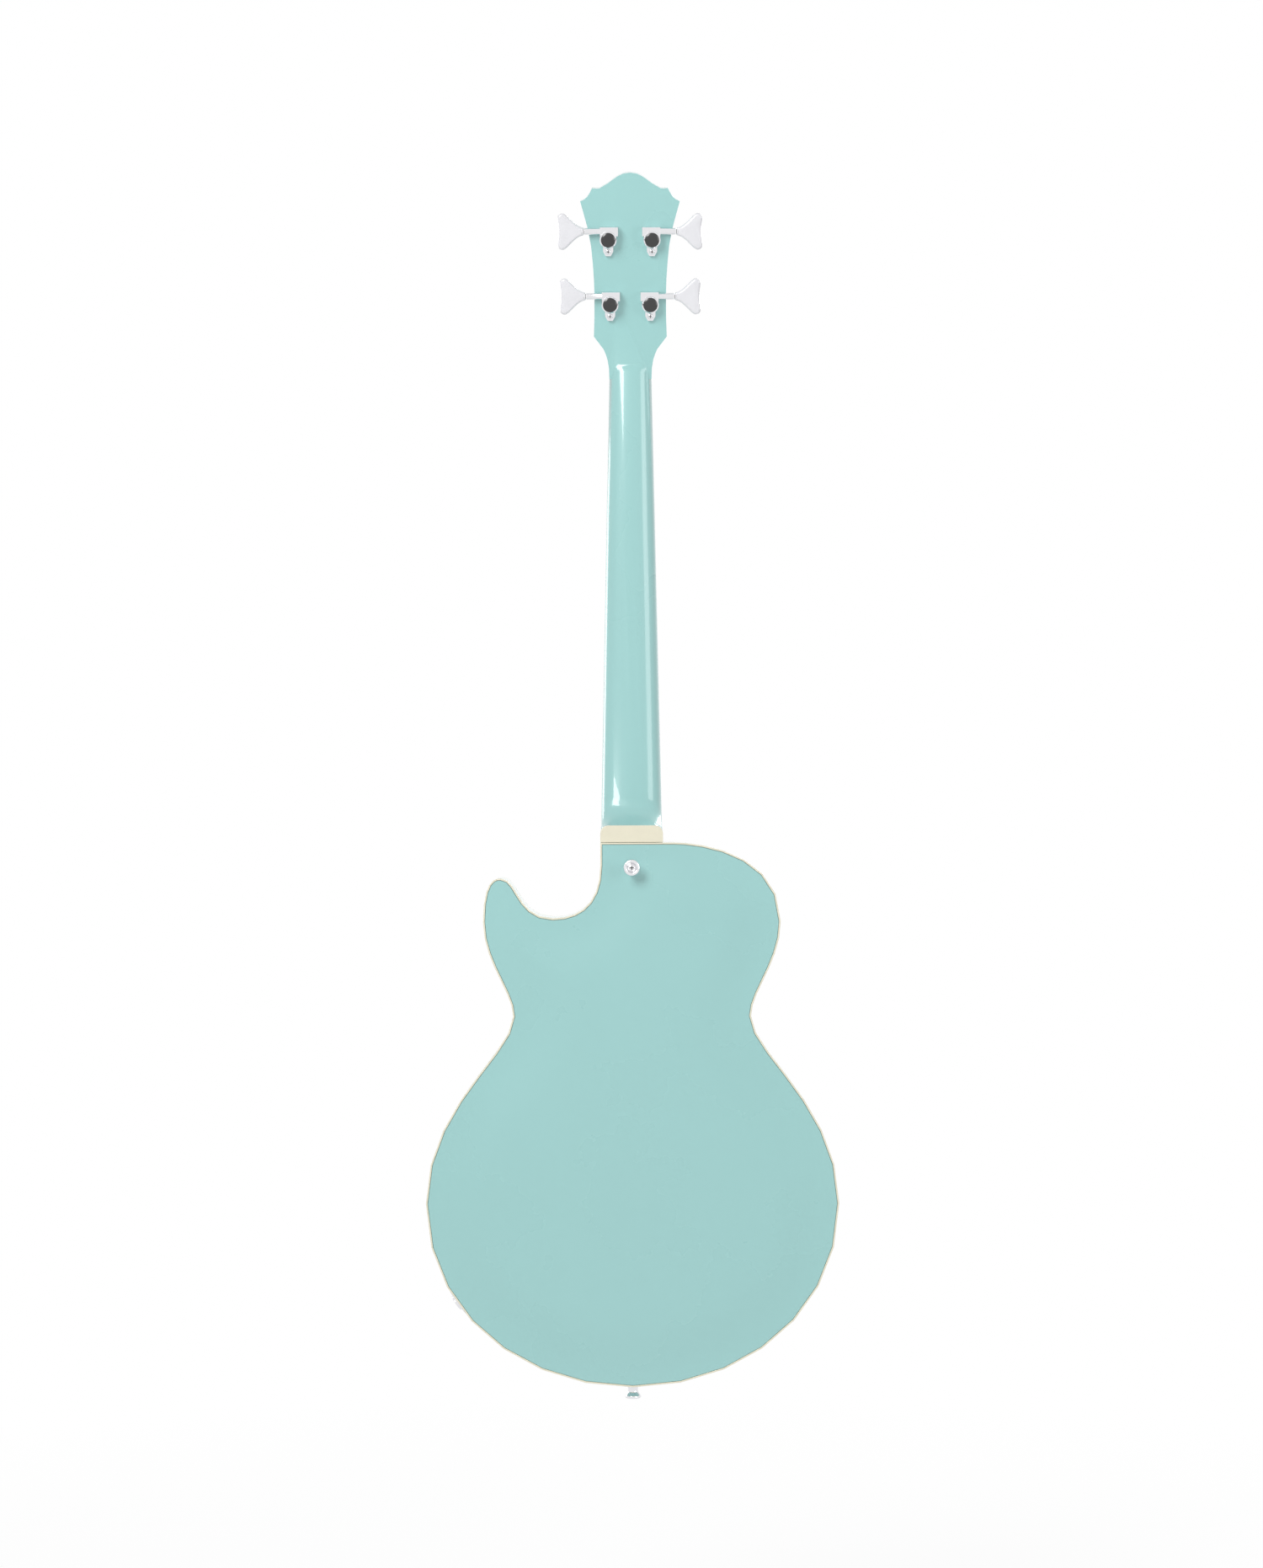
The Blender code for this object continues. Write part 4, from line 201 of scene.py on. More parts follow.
def wound_steel():
    """Nickel wire wrapped round a core: fine ridges along the string."""
    material, tree, shader = node_tree("wound_nickel")
    place = tree.nodes.new("ShaderNodeTexCoord")
    ridges = tree.nodes.new("ShaderNodeTexWave")
    ridges.bands_direction = "Z"
    ridges.inputs["Scale"].default_value = 620.0
    relief = tree.nodes.new("ShaderNodeBump")
    relief.inputs["Strength"].default_value = 0.5
    relief.inputs["Distance"].default_value = 0.0002
    tree.links.new(place.outputs["Object"], ridges.inputs["Vector"])
    tree.links.new(ridges.outputs["Fac"], relief.inputs["Height"])
    tree.links.new(relief.outputs["Normal"], shader.inputs["Normal"])
    shader.inputs["Base Color"].default_value = (0.62, 0.60, 0.57, 1.0)
    shader.inputs["Metallic"].default_value = 1.0
    shader.inputs["Roughness"].default_value = 0.32
    return material


FINISHES = {
    "mint_lacquer": finish("mint_gloss", (0.32, 0.60, 0.585), 0.28, coat=1.0, tone=0.025, grain=9.0,
                           bump=0.015),
    "cream_plastic": finish("cream_binding", (0.80, 0.76, 0.60), 0.30, coat=0.4, tone=0.05, grain=120.0),
    "bare_wood": finish("spruce", (0.62, 0.46, 0.28), 0.65, tone=0.22, grain=26.0, stretch=(6, 6, 0.5),
                        bump=0.2),
    "rosewood": finish("rosewood_grain", (0.085, 0.042, 0.026), 0.42, tone=0.45, grain=60.0,
                       stretch=(7, 2, 0.4), bump=0.25),
    "bone": finish("bone_nut", (0.84, 0.81, 0.72), 0.38, tone=0.06, grain=200.0),
    "steel": finish("plated_steel", (0.50, 0.50, 0.52), 0.34, metallic=1.0, tone=0.08, grain=150.0),
    # The black gloss also paints the shade in every screw's cross recess, besides the real black plastic
    # parts.
    "black_plastic": finish("black_gloss_and_recess_shade", (0.012, 0.012, 0.013), 0.20, coat=0.6, tone=0.2, grain=70.0),
    "white_plastic": finish("white_pearl", (0.76, 0.76, 0.79), 0.22, coat=0.8, tone=0.07, grain=75.0,
                            bump=0.01),
    "string_steel": wound_steel(),
    "chrome": finish("polished_chrome", (0.80, 0.80, 0.82), 0.09, metallic=1.0, tone=0.02, grain=90.0,
                     bump=0.01, spread=0.04),
}
SLOT_OF = {entry["node"]: entry["material_slot"] for entry in frame["record"]["subparts"]}


# Mesh helpers

def new_piece(name, mesh, body, slot, replaces=(), angle=32):
    """Puts a finished mesh on its body with its slot's finish."""
    mesh.materials.clear()
    mesh.materials.append(FINISHES[slot])
    mesh.shade_smooth()
    mesh.set_sharp_from_angle(angle=math.radians(angle))
    piece = bpy.data.objects.new(name, mesh)
    bpy.context.scene.collection.objects.link(piece)
    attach(piece, body)
    if replaces:
        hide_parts(*replaces)
    return piece


def mesh_of(name, points, faces, place=None):
    mesh = bpy.data.meshes.new(name)
    built = bmesh.new()
    verts = [built.verts.new(place @ Vector(p) if place else p) for p in points]
    for face in faces:
        built.faces.new([verts[i] for i in face])
    bmesh.ops.recalc_face_normals(built, faces=built.faces)
    built.to_mesh(mesh)
    built.free()
    return mesh


def loft(name, loops, place=None):
    """A closed solid through loops that have the same number of points."""
    count = len(loops[0])
    points = [point for loop in loops for point in loop]
    faces = [tuple(range(count)), tuple(range(len(points) - count, len(points)))]
    for k in range(len(loops) - 1):
        for i in range(count):
            j = (i + 1) % count
            faces.append((k * count + i, k * count + j, (k + 1) * count + j, (k + 1) * count + i))
    return mesh_of(name, points, faces, place)


def turned(name, profile, place=None, segments=48, axis="Y", flutes=0, depth=0.0):
    """A profile of (radius, height) pairs spun about an axis of its place; flutes scallop its radius."""
    loops = []
    for radius, height in profile:
        loop = []
        for i in range(segments):
            turn = 2 * math.pi * i / segments
            reach = radius * (1 - depth * (0.5 + 0.5 * math.cos(flutes * turn))) if flutes else radius
            a, b = reach * math.cos(turn), reach * math.sin(turn)
            loop.append({"X": (height, a, b), "Y": (a, height, b), "Z": (a, b, height)}[axis])
        loops.append(loop)
    return loft(name, loops, place)


def inset(outline, distance):
    """An outline of (x, z) points moved inwards."""
    moved = []
    count = len(outline)
    for i in range(count):
        before, here, after = (Vector(outline[(i + k) % count]) for k in (-1, 0, 1))
        first, second = (here - before).normalized(), (after - here).normalized()
        inward = Vector((-(first.y + second.y), first.x + second.x)).normalized()
        square = max(inward.dot(Vector((-first.y, first.x))), 0.4)
        moved.append(tuple(here + inward * (distance / square)))
    return moved


def area(outline):
    return 0.5 * sum(x0 * z1 - x1 * z0 for (x0, z0), (x1, z1) in zip(outline, [*outline[1:], outline[0]]))


def rounded_prism(name, outline, y0, y1, radius, place=None, steps=4):
    """An outline of (x, z) points extruded along Y, its two rims rounded."""
    if area(outline) < 0:
        outline = outline[::-1]
    loops = []
    for y, sign in ((y0, 1), (y1, -1)):
        arc = []
        for k in range(steps + 1):
            turn = math.pi / 2 * k / steps
            level = y + sign * radius * (1 - math.cos(turn))
            arc.append([(x, level, z) for x, z in inset(outline, radius * (1 - math.sin(turn)))])
        loops += arc if sign > 0 else arc[::-1]
    return loft(name, loops, place)


def bezier(start, pull_start, pull_end, end, steps):
    curve = []
    for i in range(steps):
        t = i / steps
        curve.append(tuple(
            (1 - t) ** 3 * a + 3 * (1 - t) ** 2 * t * b + 3 * (1 - t) * t**2 * c + t**3 * d
            for a, b, c, d in zip(start, pull_start, pull_end, end)
        ))
    return curve


def rounded_rectangle(low, high, corner, steps=6):
    """A rectangle in (x, z) with round corners."""
    outline = []
    corners = ((high[0], high[1], 0), (low[0], high[1], 90), (low[0], low[1], 180), (high[0], low[1], 270))
    for x, z, first in corners:
        centre_x = x - corner if x == high[0] else x + corner
        centre_z = z - corner if z == high[1] else z + corner
        for step in range(steps + 1):
            turn = math.radians(first + 90 * step / steps)
            outline.append((centre_x + corner * math.cos(turn), centre_z + corner * math.sin(turn)))
    return outline


def node_bmesh(node):
    """A CAD node's solid, its doubled points merged."""
    built = bmesh.new()
    built.from_mesh(frame["nodes"][node].data)
    bmesh.ops.remove_doubles(built, verts=built.verts, dist=MERGE_DISTANCE)
    return built


def clean_copy(node):
    """A CAD node's solid with its triangles joined into flat faces again."""
    built = node_bmesh(node)
    bmesh.ops.dissolve_limit(built, angle_limit=FLAT_TURN, verts=built.verts, edges=built.edges)
    mesh = bpy.data.meshes.new(f"{node}_fine")
    built.to_mesh(mesh)
    built.free()
    return mesh


def dress(node, rim=0.0, angle=32):
    """A CAD node's own solid with softened rims and its finish."""
    body = frame["nodes"][node]["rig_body"]
    piece = new_piece(f"{node}_fine", clean_copy(node), body, SLOT_OF[node], (node,), angle)
    if rim:
        soften = piece.modifiers.new("rim", "BEVEL")
        soften.width = rim
        soften.segments = 2
        soften.limit_method = "ANGLE"
        soften.angle_limit = RIM_TURN
        soften.harden_normals = True
    return piece


def screw(name, place, radius, body, slot="chrome"):
    """A domed cross-head screw, its cross recess drawn as a black solid of painted shade. Its place's Y
    points into what it holds.
    """
    new_piece(name, turned(name, [
        (radius, 0.0), (radius, -radius * 0.12), (radius * 0.82, -radius * 0.38),
        (radius * 0.45, -radius * 0.52), (radius * 0.1, -radius * 0.55),
    ], place, 24), body, slot)
    arm, half = radius * 0.55, radius * 0.12
    cross = [(arm, -half), (arm, half), (half, half), (half, arm), (-half, arm), (-half, half), (-arm, half),
             (-arm, -half), (-half, -half), (-half, -arm), (half, -arm), (half, -half)]
    level = -radius * 0.57
    levels = (level, level + radius * 0.2)
    # The cross is a thin black solid set into the dome's top: painted shade standing in for the dark of a
    # cross recess.
    painted_recess_shade = loft(f"{name}_cross", [[(x, y, z) for x, z in cross] for y in levels], place)
    new_piece(f"{name}_cross", painted_recess_shade, body, "black_plastic")


# Body

def edge_loops(built, faces):
    """The closed edges of a set of faces, as lists of (x, z) points."""
    left = {edge for edge in built.edges if sum(face in faces for face in edge.link_faces) == 1}
    loops = []
    while left:
        edge = left.pop()
        start, here = edge.verts
        loop = [start, here]
        while here != start:
            step = next((e for e in here.link_edges if e in left), None)
            if step is None:
                break
            left.discard(step)
            here = step.other_vert(here)
            loop.append(here)
        loops.append([(v.co.x, v.co.z) for v in loop[:-1]])
    return loops


def back_face_loops(node):
    """The edges of a CAD node's backward faces, as curves through their points."""
    built = node_bmesh(node)
    loops = edge_loops(built, {face for face in built.faces if face.normal.y > 0.5})
    built.free()
    return [smoothed(loop if area(loop) > 0 else loop[::-1]) for loop in loops]


def smoothed(loop):
    """A closed curve through the points of a loop, which keeps its corners."""
    points = [Vector(p) for p in loop]
    count = len(points)
    slopes = []
    for i, here in enumerate(points):
        before, after = here - points[i - 1], points[(i + 1) % count] - here
        corner = before.angle(after) > CORNER_TURN
        slopes.append((before, after) if corner else ((before + after) / 2,) * 2)
    curve = []
    for i, here in enumerate(points):
        there = points[(i + 1) % count]
        reach = (there - here).length
        leave = slopes[i][1].normalized() * reach / 3
        arrive = slopes[(i + 1) % count][0].normalized() * reach / 3
        curve += bezier(here, here + leave, there - arrive, there, CURVE_STEPS)
    return curve


def rim_outline():
    """The body's edge as (x, z) points, kept within the CAD rim's box."""
    outline = max(back_face_loops("back_binding"), key=lambda loop: abs(area(loop)))
    low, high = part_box("back_binding")
    return [(min(max(x, low.x), high.x), min(max(z, low.z), high.z)) for x, z in outline]


def edge_distances(places, outline):
    """Distance of each place from the outline, 0 outside it."""
    starts = np.array(outline)
    ends = np.roll(starts, -1, axis=0)
    along = ends - starts
    nearest = np.full(len(places), 1e9)
    inside = np.zeros(len(places), bool)
    for start, end, run in zip(starts, ends, along):
        offset = places - start
        share = np.clip(offset @ run / (run @ run), 0, 1)
        nearest = np.minimum(nearest, np.hypot(*(offset - share[:, None] * run).T))
        if start[1] != end[1]:
            crosses = (start[1] > places[:, 1]) != (end[1] > places[:, 1])
            cut_x = start[0] + (places[:, 1] - start[1]) / (end[1] - start[1]) * run[0]
            inside ^= crosses & (cut_x > places[:, 0])
    return np.where(inside, nearest, 0.0)


def fine_slab(name, outline, rim_y, arch):
    """A thin solid under a smooth arched surface, wider than the body. rim_y's sign says which plate."""
    side = math.copysign(1, rim_y)
    corners = np.array(outline)
    low, high = corners.min(axis=0) - FINE_GRID, corners.max(axis=0) + FINE_GRID
    columns, rows = (math.ceil(span / FINE_GRID) for span in high - low)
    xs, zs = np.linspace(low[0], high[0], columns + 1), np.linspace(low[1], high[1], rows + 1)
    places = np.array([(x, z) for z in zs for x in xs])
    share = np.clip((edge_distances(places, outline) - RIM_FLAT) / ARCH_SPAN, 0, 1)
    rises = abs(rim_y) + arch * share * share * (3 - 2 * share)
    points = [(x, side * (rise - drop), z)
              for drop in (0.0, PLATE_THICKNESS) for (x, z), rise in zip(places, rises)]
    wide, layer = columns + 1, len(places)
    faces = []
    for j in range(rows):
        for i in range(columns):
            a = j * wide + i
            for triangle in ((a, a + 1, a + wide + 1), (a, a + wide + 1, a + wide)):
                faces.append(triangle)
                faces.append(tuple(k + layer for k in triangle))
    border = [*range(wide), *range(2 * wide - 1, layer, wide)]
    border += [*range(layer - 2, layer - wide - 1, -1), *range(layer - 2 * wide, 0, -wide)]
    for a, b in zip(border, [*border[1:], border[0]]):
        faces.append((a, b, b + layer, a + layer))
    return mesh_of(name, points, faces)


def plan_sheet(node, side):
    """The plate's outline and holes as a flat sheet, from the faces of its outer surface."""
    built = node_bmesh(node)
    hidden = [face for face in built.faces if side * face.normal.y < 0.5]
    bmesh.ops.delete(built, geom=hidden, context="FACES")
    for vert in built.verts:
        vert.co.y = 0.0
    bmesh.ops.recalc_face_normals(built, faces=built.faces)
    mesh = bpy.data.meshes.new(f"{node}_plan")
    built.to_mesh(mesh)
    built.free()
    return mesh


def make_plate(node, binding, outline):
    """An arched plate with a smooth surface, cut to the CAD plate's outline and holes."""
    low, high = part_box(node)
    side = 1 if high.y > -low.y else -1
    rim_low, rim_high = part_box(binding)
    rim_y = rim_high.y if side > 0 else rim_low.y
    arch = (high.y if side > 0 else -low.y) - abs(rim_y)
    slab = bpy.data.objects.new("slab", fine_slab(f"{node}_slab", outline, rim_y, arch))
    cutter = bpy.data.objects.new("cutter", plan_sheet(node, side))
    for helper in (slab, cutter):
        bpy.context.scene.collection.objects.link(helper)
    thick = cutter.modifiers.new("thick", "SOLIDIFY")
    thick.thickness = CUTTER_DEPTH
    thick.offset = 0.0
    trim = slab.modifiers.new("trim", "BOOLEAN")
    trim.operation = "INTERSECT"
    trim.object = cutter
    shaped = bpy.data.meshes.new_from_object(slab.evaluated_get(bpy.context.evaluated_depsgraph_get()))
    for helper in (slab, cutter):
        bpy.data.objects.remove(helper)
    if len(shaped.polygons) < PLATE_MIN_FACES:
        print(f"{node}: the smooth plate failed, so its own solid stays")
        dress(node)
        return
    new_piece(f"{node}_fine", shaped, "body", SLOT_OF[node], (node,), 40)


def make_body():
    outline = rim_outline()
    make_plate("body_back", "back_binding", outline)
    make_plate("body_top", "top_binding", outline)
    for node in ("body_sides", "back_binding", "top_binding", "heel_cap"):
        dress(node, BINDING_RIM if node != "body_sides" else 0.0)
    dress("neck", angle=38)


# Fretboard

def neck_place():
    """The fretboard's frame: its origin on the surface at the nut, its Z up the neck."""
    middle = [v.co for v in frame["nodes"]["fretboard"].data.vertices if abs(v.co.x) < 1e-5]
    head, foot = max(middle, key=lambda p: p.z), min(middle, key=lambda p: p.z)
    along = head - foot
    return Matrix.Translation(head) @ Matrix.Rotation(-math.atan2(along.y, along.z), 4, "X"), along.length


def make_fretboard():
    place, length = neck_place()
    end_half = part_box("fretboard")[1].x
    nut_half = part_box("nut")[1].x

    def half_at(distance):
        return nut_half + (end_half - nut_half) * distance / length

    def section(distance, rise, foot, margin=0.0, steps=16):
        half = half_at(distance) - margin
        row = []
        for i in range(steps + 1):
            x = half * (2 * i / steps - 1)
            row.append((x, x * x / (2 * BOARD_RADIUS) - rise, -distance))
        return [*row, (half, foot, -distance), (-half, foot, -distance)]

    edge = BOARD_BINDING
    ends = [section(distance, 0.0, BOARD_THICKNESS, edge) for distance in (0.0, length - edge)]
    new_piece("fretboard_fine", loft("fretboard_fine", ends, place), "body", "rosewood", ("fretboard",))
    for label, side in (("bass", -1), ("treble", 1)):
        strips = []
        for distance in (0.0, length):
            outer = side * half_at(distance)
            inner = outer - side * edge
            rise = outer * outer / (2 * BOARD_RADIUS)
            strips.append([(outer, rise, -distance), (inner, rise, -distance),
                           (inner, BOARD_THICKNESS, -distance), (outer, BOARD_THICKNESS, -distance)])
        strip = loft(f"strip_{label}", strips, place)
        new_piece(f"fretboard_binding_{label}", strip, "body", "cream_plastic")
    half = half_at(length) - edge
    cap = [[(x, x * x / (2 * BOARD_RADIUS) + (BOARD_THICKNESS if k else 0.0), -length + step)
            for k in (0, 1) for x in (-half, half)] for step in (0.0, edge)]
    cap = [[loop[0], loop[1], loop[3], loop[2]] for loop in cap]
    new_piece("fretboard_binding_end", loft("strip_end", cap, place), "body", "cream_plastic")

    for number in range(1, FRET_COUNT + 1):
        middle = SCALE_LENGTH * (1 - 2 ** (-number / 12))
        loops = []
        for k in range(9):
            turn = math.pi * k / 8
            distance = middle - FRET_WIDTH / 2 * math.cos(turn)
            rise = FRET_HEIGHT * math.sin(turn) + FRET_LIFT
            loops.append(section(distance, rise, FRET_TANG, FRET_INSET, 12))
        new_piece(f"fret_wire_{number}", loft(f"fret_{number}", loops, place), "body", "steel", angle=50)
        if number in MARKED_FRETS:
            previous = SCALE_LENGTH * (1 - 2 ** (-(number - 1) / 12))
            marker = (middle + previous) / 2
            spots = (-MARKER_PAIR_HALF, MARKER_PAIR_HALF) if number == 12 else (0.0,)
            for i, x in enumerate(spots):
                spot = place @ Matrix.Translation((x, x * x / (2 * BOARD_RADIUS), -marker))
                profile = [(MARKER_RADIUS, 0.001), (MARKER_RADIUS, -0.00008), (0.0001, -0.0001)]
                disc = turned(f"dot_{number}_{i}", profile, spot, 32)
                new_piece(f"marker_{number}_{i}", disc, "body", "white_plastic")


# Tuners

def button_outline(side):
    """The key's button in its flat plane: a stem that spreads into two lobes."""
    start, end = BUTTON_START, BUTTON_START + BUTTON_LENGTH
    lobe_x, lobe_z = end - BUTTON_LOBE_RADIUS, BUTTON_HALF_HEIGHT - BUTTON_LOBE_RADIUS
    upper = bezier((start, BUTTON_STEM_HALF), (start + 0.006, BUTTON_STEM_HALF + 0.0008),
                   (lobe_x - 0.008, lobe_z - 0.001), (lobe_x - 0.0025, lobe_z + 0.0035), 14)
    for step in range(13):
        turn = math.radians(110 - 120 * step / 12)
        out_x, out_z = BUTTON_LOBE_RADIUS * math.cos(turn), BUTTON_LOBE_RADIUS * math.sin(turn)
        upper.append((lobe_x + out_x, lobe_z + out_z))
    last_x, last_z = upper[-1]
    for share in (0.25, 0.5, 0.75):
        level = 1 - share
        upper.append((end - BUTTON_HOLLOW + (last_x - end + BUTTON_HOLLOW) * level * level, last_z * level))
    upper.append((end - BUTTON_HOLLOW, 0.0))
    lower = [(x, -z) for x, z in reversed(upper[:-1])]
    return [(side * x, z) for x, z in [*upper, *lower]]


def joint_place(name, axis):
    """A frame at a joint, X across the instrument and Y along the headstock's depth."""
    depth = Vector(axis).normalized()
    across = Vector((1.0, 0.0, 0.0))
    turn = Matrix((across, depth, across.cross(depth))).transposed().to_4x4()
    return Matrix.Translation(JOINTS[name]["pos_m"]) @ turn


def make_tuner(name):
    depth = JOINTS[f"post_{name}_turn"]["axis"]
    post = joint_place(f"post_{name}_turn", depth)
    key = joint_place(f"key_{name}_turn", depth)
    side = math.copysign(1, post.translation.x)
    dress(f"tuner_housing_{name}", HOUSING_RIM)
    dress(f"string_post_{name}", POST_RIM)
    cap = turned(f"cap_{name}", [
        (CAP_RADIUS, CASE_END - 0.0005), (CAP_RADIUS, CASE_END + 0.0002),
        (CAP_RADIUS * 0.92, CASE_END + 0.0006), (CAP_RADIUS * 0.5, CASE_END + 0.0009),
        (0.0002, CASE_END + 0.001),
    ], post)
    new_piece(f"tuner_cap_{name}", cap, "body", "black_plastic")
    tab = post @ Matrix.Translation((0.0, TAB_FACE, -TAB_SCREW_DROP))
    screw(f"tuner_screw_{name}", tab @ Matrix.Rotation(math.pi, 4, "X"), TAB_SCREW_RADIUS, "body")
    half = BUTTON_THICKNESS / 2
    button = rounded_prism(f"button_{name}", button_outline(side), -half, half, BUTTON_EDGE, key, 6)
    key_node = f"tuner_key_{name}"
    new_piece(f"tuner_button_{name}", button, key_node, "white_plastic", (key_node,), 50)
    collar = turned(f"collar_{name}", [
        (COLLAR_RADIUS * 0.8, side * (BUTTON_START - 0.0009)),
        (COLLAR_RADIUS, side * (BUTTON_START - 0.0005)),
        (COLLAR_RADIUS, side * (BUTTON_START + 0.0006)),
        (COLLAR_RADIUS * 0.8, side * (BUTTON_START + 0.001)),
    ], key, 32, "X")
    new_piece(f"key_collar_{name}", collar, key_node, "chrome")


# Fittings

def make_strap_button(node, place):
    """A turned strap button. Its place's Y points into the body from its outer face."""
    profile = [(0.0001, BUTTON_DISH), (0.0037, BUTTON_DISH), (0.0045, 0.0004), (0.0053, 0.0),
               (0.0066, 0.0002), (0.0071, 0.0009), (0.0071, 0.0019), (0.0064, 0.0031), (0.0051, 0.0047),
               (0.0045, 0.0064), (0.0044, 0.0081), (0.0048, 0.0098), (0.0059, 0.0115), (0.0063, 0.0124),
               (0.0064, 0.0134)]
    new_piece(f"{node}_fine", turned(node, profile, place, 64), "body", "chrome", (node,), 50)
    screw(f"{node}_screw", place @ Matrix.Translation((0.0, BUTTON_DISH, 0.0)), BUTTON_SCREW_RADIUS, "body")


def make_fittings():
    low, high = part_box("heel_strap_button")
    heel = Matrix.Translation((0.0, high.y, (low.z + high.z) / 2)) @ Matrix.Rotation(math.pi, 4, "X")
    make_strap_button("heel_strap_button", heel)
    low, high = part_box("end_strap_button")
    end = Matrix.Translation((0.0, 0.0, low.z)) @ Matrix.Rotation(math.pi / 2, 4, "X")
    make_strap_button("end_strap_button", end)
    for node in ("jack_plate", "output_jack", "bridge", "tailpiece", "bridge_post_bass", "bridge_post_treble",
                 "tailpiece_stud_bass", "tailpiece_stud_treble", "truss_rod_cover", "nut", "selector_lever",
                 "selector_switch", *[f"saddle_{name}" for name in STRING_NAMES]):
        dress(node, FITTING_RIM)
    for name in STRING_NAMES:
        dress(f"string_{name}", angle=70)


def make_pickup(name):
    low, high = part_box(f"{name}_pickup")
    outline = rounded_rectangle((low.x, low.z), (high.x, high.z), PICKUP_CORNER)
    cover = rounded_prism(f"{name}_cover", outline, low.y, high.y, PICKUP_EDGE)
    new_piece(f"{name}_pickup_fine", cover, "body", "chrome", (f"{name}_pickup",), 40)
    dress(f"{name}_pickup_ring", RING_RIM)
    place, _ = neck_place()
    nut_z, saddle_z = place.translation.z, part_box("saddle_e")[0].z
    middle_z = (low.z + high.z) / 2
    for string in STRING_NAMES:
        x_low, x_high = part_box(f"saddle_{string}")
        bridge_x = (x_low.x + x_high.x) / 2
        nut_x = NUT_SPREAD * (STRING_NAMES.index(string) / 3 - 0.5)
        x = bridge_x + (nut_x - bridge_x) * (middle_z - saddle_z) / (nut_z - saddle_z)
        spot = Matrix.Translation((x, low.y, middle_z - POLE_DROP))
        screw(f"{name}_pole_{string}", spot, POLE_RADIUS, "body", "steel")
    ring_low, ring_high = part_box(f"{name}_pickup_ring")
    for i, (x, z) in enumerate(((ring_low.x, ring_low.z), (ring_high.x, ring_low.z),
                                (ring_low.x, ring_high.z), (ring_high.x, ring_high.z))):
        inward_x = math.copysign(RING_SCREW_INSET, -x)
        inward_z = RING_SCREW_INSET if z == ring_low.z else -RING_SCREW_INSET
        spot = Matrix.Translation((x + inward_x, ring_low.y, z + inward_z))
        screw(f"{name}_ring_screw_{i}", spot, RING_SCREW_RADIUS, "body")


def make_knob(name):
    low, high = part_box(f"{name}_knob")
    radius = (high.x - low.x) / 2
    place = Matrix.Translation(((low.x + high.x) / 2, low.y, (low.z + high.z) / 2))
    skirt = turned(f"{name}_grip", [
        (radius * 0.99, KNOB_HEIGHT), (radius, KNOB_HEIGHT - 0.0008), (radius * 0.985, KNOB_HEIGHT - 0.0022),
        (radius * 0.93, KNOB_HEIGHT * 0.5), (radius * 0.89, 0.0016), (radius * 0.86, 0.0006),
        (radius * 0.8, 0.0),
    ], place, KNOB_SEGMENTS, flutes=KNOB_FLUTES, depth=FLUTE_DEPTH)
    new_piece(f"{name}_knob_fine", skirt, f"{name}_knob", "black_plastic", (f"{name}_knob",), 50)
    cap = turned(f"{name}_cap", [(radius * 0.62, 0.0006), (radius * 0.62, -0.0001), (radius * 0.56, -0.0004),
                                 (0.0001, -0.0004)], place, 64)
    new_piece(f"{name}_knob_cap", cap, f"{name}_knob", "chrome")
    pointer = rounded_rectangle((-POINTER_HALF, radius * 0.63), (POINTER_HALF, radius * 0.84), 0.0004, 3)
    mark = rounded_prism(f"{name}_mark", pointer, -0.0002, 0.0006, 0.0001, place, 2)
    new_piece(f"{name}_knob_pointer", mark, f"{name}_knob", "cream_plastic")


# Studio

def mix_for_seen_rays(tree, seen, hidden, output):
    """Shows one shader to camera, glossy and transmission rays and another to the rest."""
    path = tree.nodes.new("ShaderNodeLightPath")
    total = path.outputs["Is Camera Ray"]
    for name in ("Is Glossy Ray", "Is Transmission Ray"):
        either = tree.nodes.new("ShaderNodeMath")
        either.operation = "MAXIMUM"
        tree.links.new(total, either.inputs[0])
        tree.links.new(path.outputs[name], either.inputs[1])
        total = either.outputs[0]
    mix = tree.nodes.new("ShaderNodeMixShader")
    tree.links.new(total, mix.inputs[0])
    tree.links.new(hidden, mix.inputs[1])
    tree.links.new(seen, mix.inputs[2])
    tree.links.new(mix.outputs[0], output)


def make_world():
    world = bpy.data.worlds.new("studio")
    bpy.context.scene.world = world
    world.use_nodes = True
    tree = world.node_tree
    soft = tree.nodes["Background"]
    soft.inputs["Color"].default_value = (1.0, 1.0, 1.0, 1.0)
    soft.inputs["Strength"].default_value = WORLD_LEVEL
    white = tree.nodes.new("ShaderNodeBackground")
    white.inputs["Color"].default_value = (1.0, 1.0, 1.0, 1.0)
    white.inputs["Strength"].default_value = 1.0
    mix_for_seen_rays(tree, white.outputs[0], soft.outputs[0], tree.nodes["World Output"].inputs["Surface"])


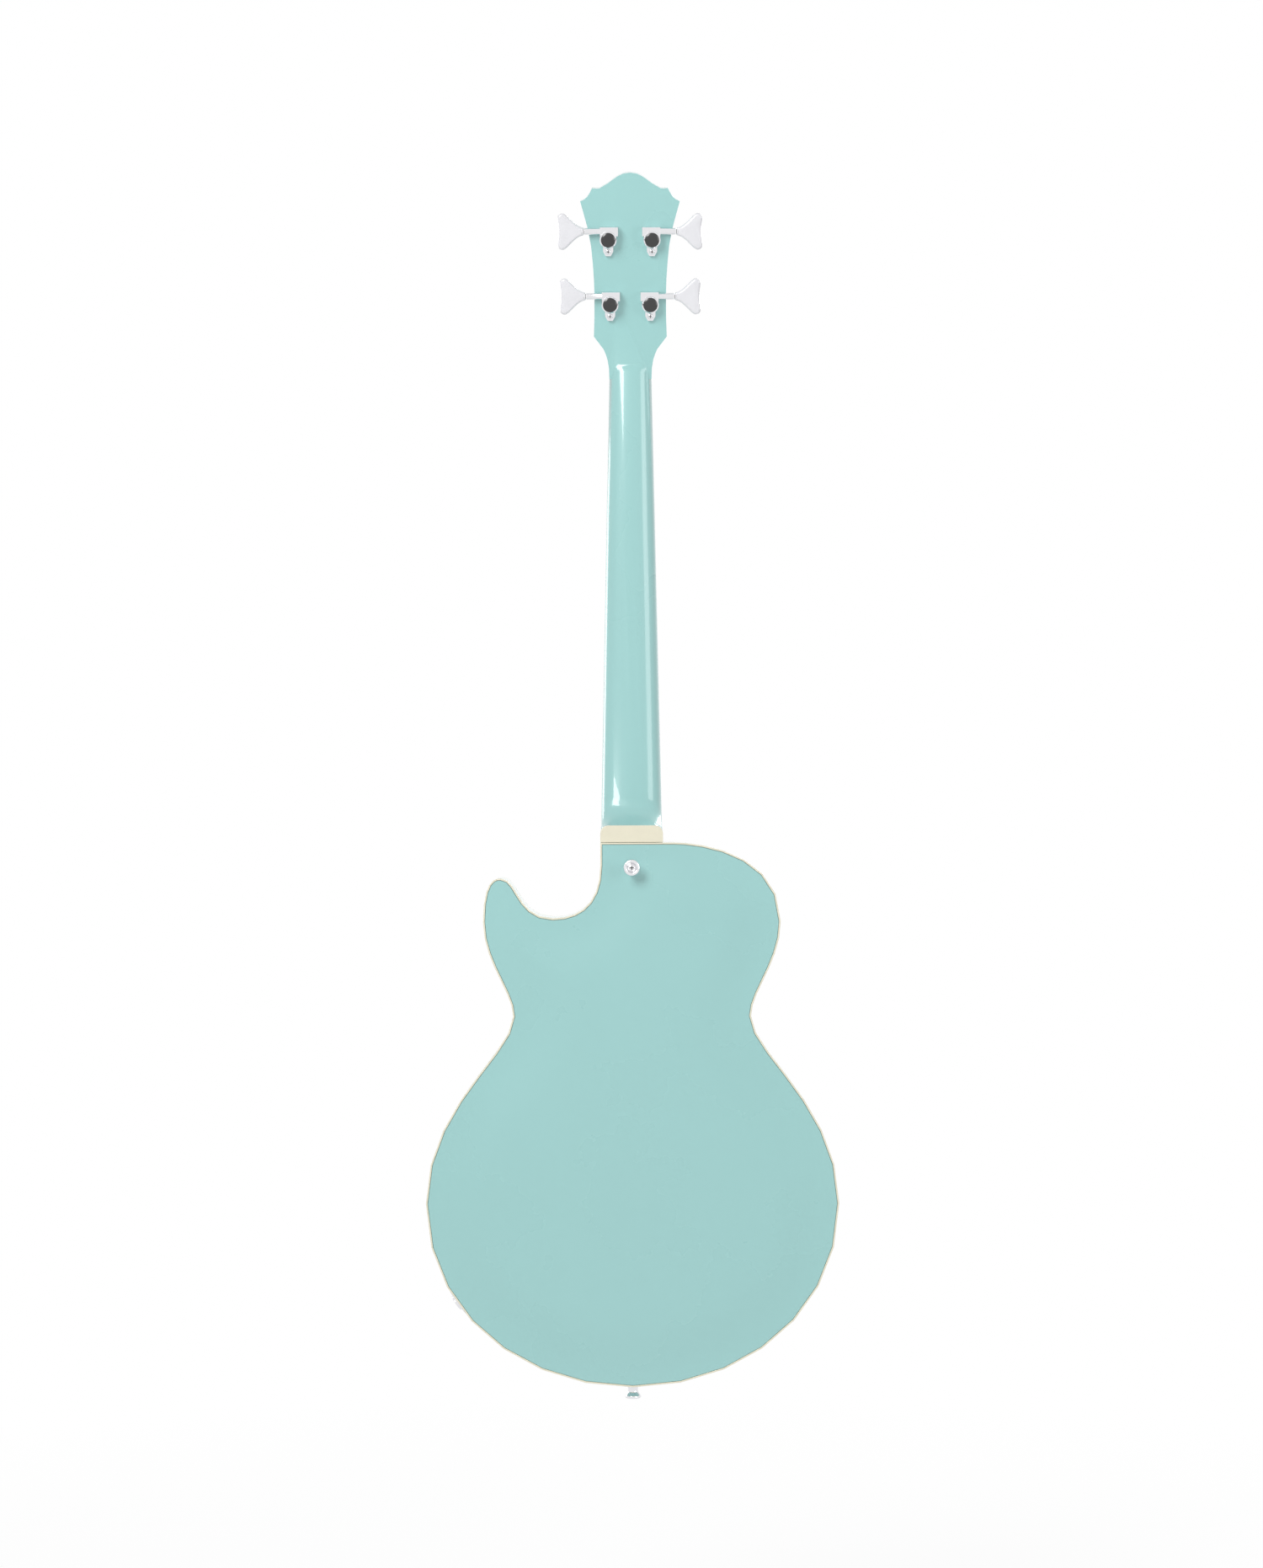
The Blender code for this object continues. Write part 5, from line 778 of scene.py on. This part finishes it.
def make_floor():
    """A pale floor that keeps a faint shadow near the instrument and fades to white away from it."""
    half = FLOOR_HALF
    corners = [(-half, -half, FLOOR_Z), (half, -half, FLOOR_Z), (half, half, FLOOR_Z), (-half, half, FLOOR_Z)]
    floor = bpy.data.objects.new("floor", mesh_of("floor", corners, [(0, 1, 2, 3)]))
    bpy.context.scene.collection.objects.link(floor)
    material, tree, shader = node_tree("pale_floor")
    shader.inputs["Base Color"].default_value = (0.88, 0.88, 0.88, 1.0)
    shader.inputs["Roughness"].default_value = 0.9
    glow = tree.nodes.new("ShaderNodeEmission")
    glow.inputs["Strength"].default_value = 1.0
    partly = tree.nodes.new("ShaderNodeMixShader")
    place = tree.nodes.new("ShaderNodeTexCoord")
    reach = tree.nodes.new("ShaderNodeVectorMath")
    reach.operation = "LENGTH"
    fade = tree.nodes.new("ShaderNodeMapRange")
    fade.inputs["From Min"].default_value = SHADOW_REACH
    fade.inputs["From Max"].default_value = SHADOW_FADE
    fade.inputs["To Min"].default_value = NEAR_GLOW
    tree.links.new(place.outputs["Object"], reach.inputs[0])
    tree.links.new(reach.outputs["Value"], fade.inputs["Value"])
    tree.links.new(fade.outputs["Result"], partly.inputs[0])
    tree.links.new(shader.outputs[0], partly.inputs[1])
    tree.links.new(glow.outputs[0], partly.inputs[2])
    surface = tree.nodes["Material Output"].inputs["Surface"]
    mix_for_seen_rays(tree, partly.outputs[0], shader.outputs[0], surface)
    floor.data.materials.append(material)


def make_lamp(name, spot, size, power):
    lamp = bpy.data.lights.new(name, "AREA")
    lamp.shape = "RECTANGLE"
    lamp.size, lamp.size_y = size
    lamp.energy = power
    holder = bpy.data.objects.new(name, lamp)
    bpy.context.scene.collection.objects.link(holder)
    holder.location = spot
    towards = Vector((0.0, 0.0, CAMERA_HEIGHT)) - Vector(spot)
    holder.rotation_euler = towards.to_track_quat("-Z", "Y").to_euler()


def make_studio():
    make_world()
    make_floor()
    for label, side in (("back", 1), ("front", -1)):
        for kind, (x, y, z), size, power in LAMPS:
            make_lamp(f"{label}_{kind}", (side * x, side * y, z), size, power)
    camera_data = bpy.data.cameras.new("camera")
    camera_data.lens = CAMERA_LENS
    camera_data.sensor_width = SENSOR
    camera = bpy.data.objects.new("camera", camera_data)
    bpy.context.scene.collection.objects.link(camera)
    back_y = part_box("back_binding")[1].y
    camera.location = (0.0, back_y + CAMERA_DISTANCE, CAMERA_HEIGHT)
    camera.rotation_euler = (math.pi / 2, CAMERA_ROLL, math.pi)
    bpy.context.scene.camera = camera
    bpy.context.scene.view_settings.view_transform = "Standard"


def finish_plain_nodes():
    """Gives every CAD node that still shows its slot's finish."""
    for node, shown in frame["nodes"].items():
        if not shown.hide_render:
            shown.data.materials.clear()
            shown.data.materials.append(FINISHES[SLOT_OF[node]])


make_body()
make_fretboard()
for string_name in STRING_NAMES:
    make_tuner(string_name)
make_fittings()
for pickup_name in ("neck", "bridge"):
    make_pickup(pickup_name)
for knob_name in ("neck_volume", "bridge_volume", "tone"):
    make_knob(knob_name)
finish_plain_nodes()
make_studio()
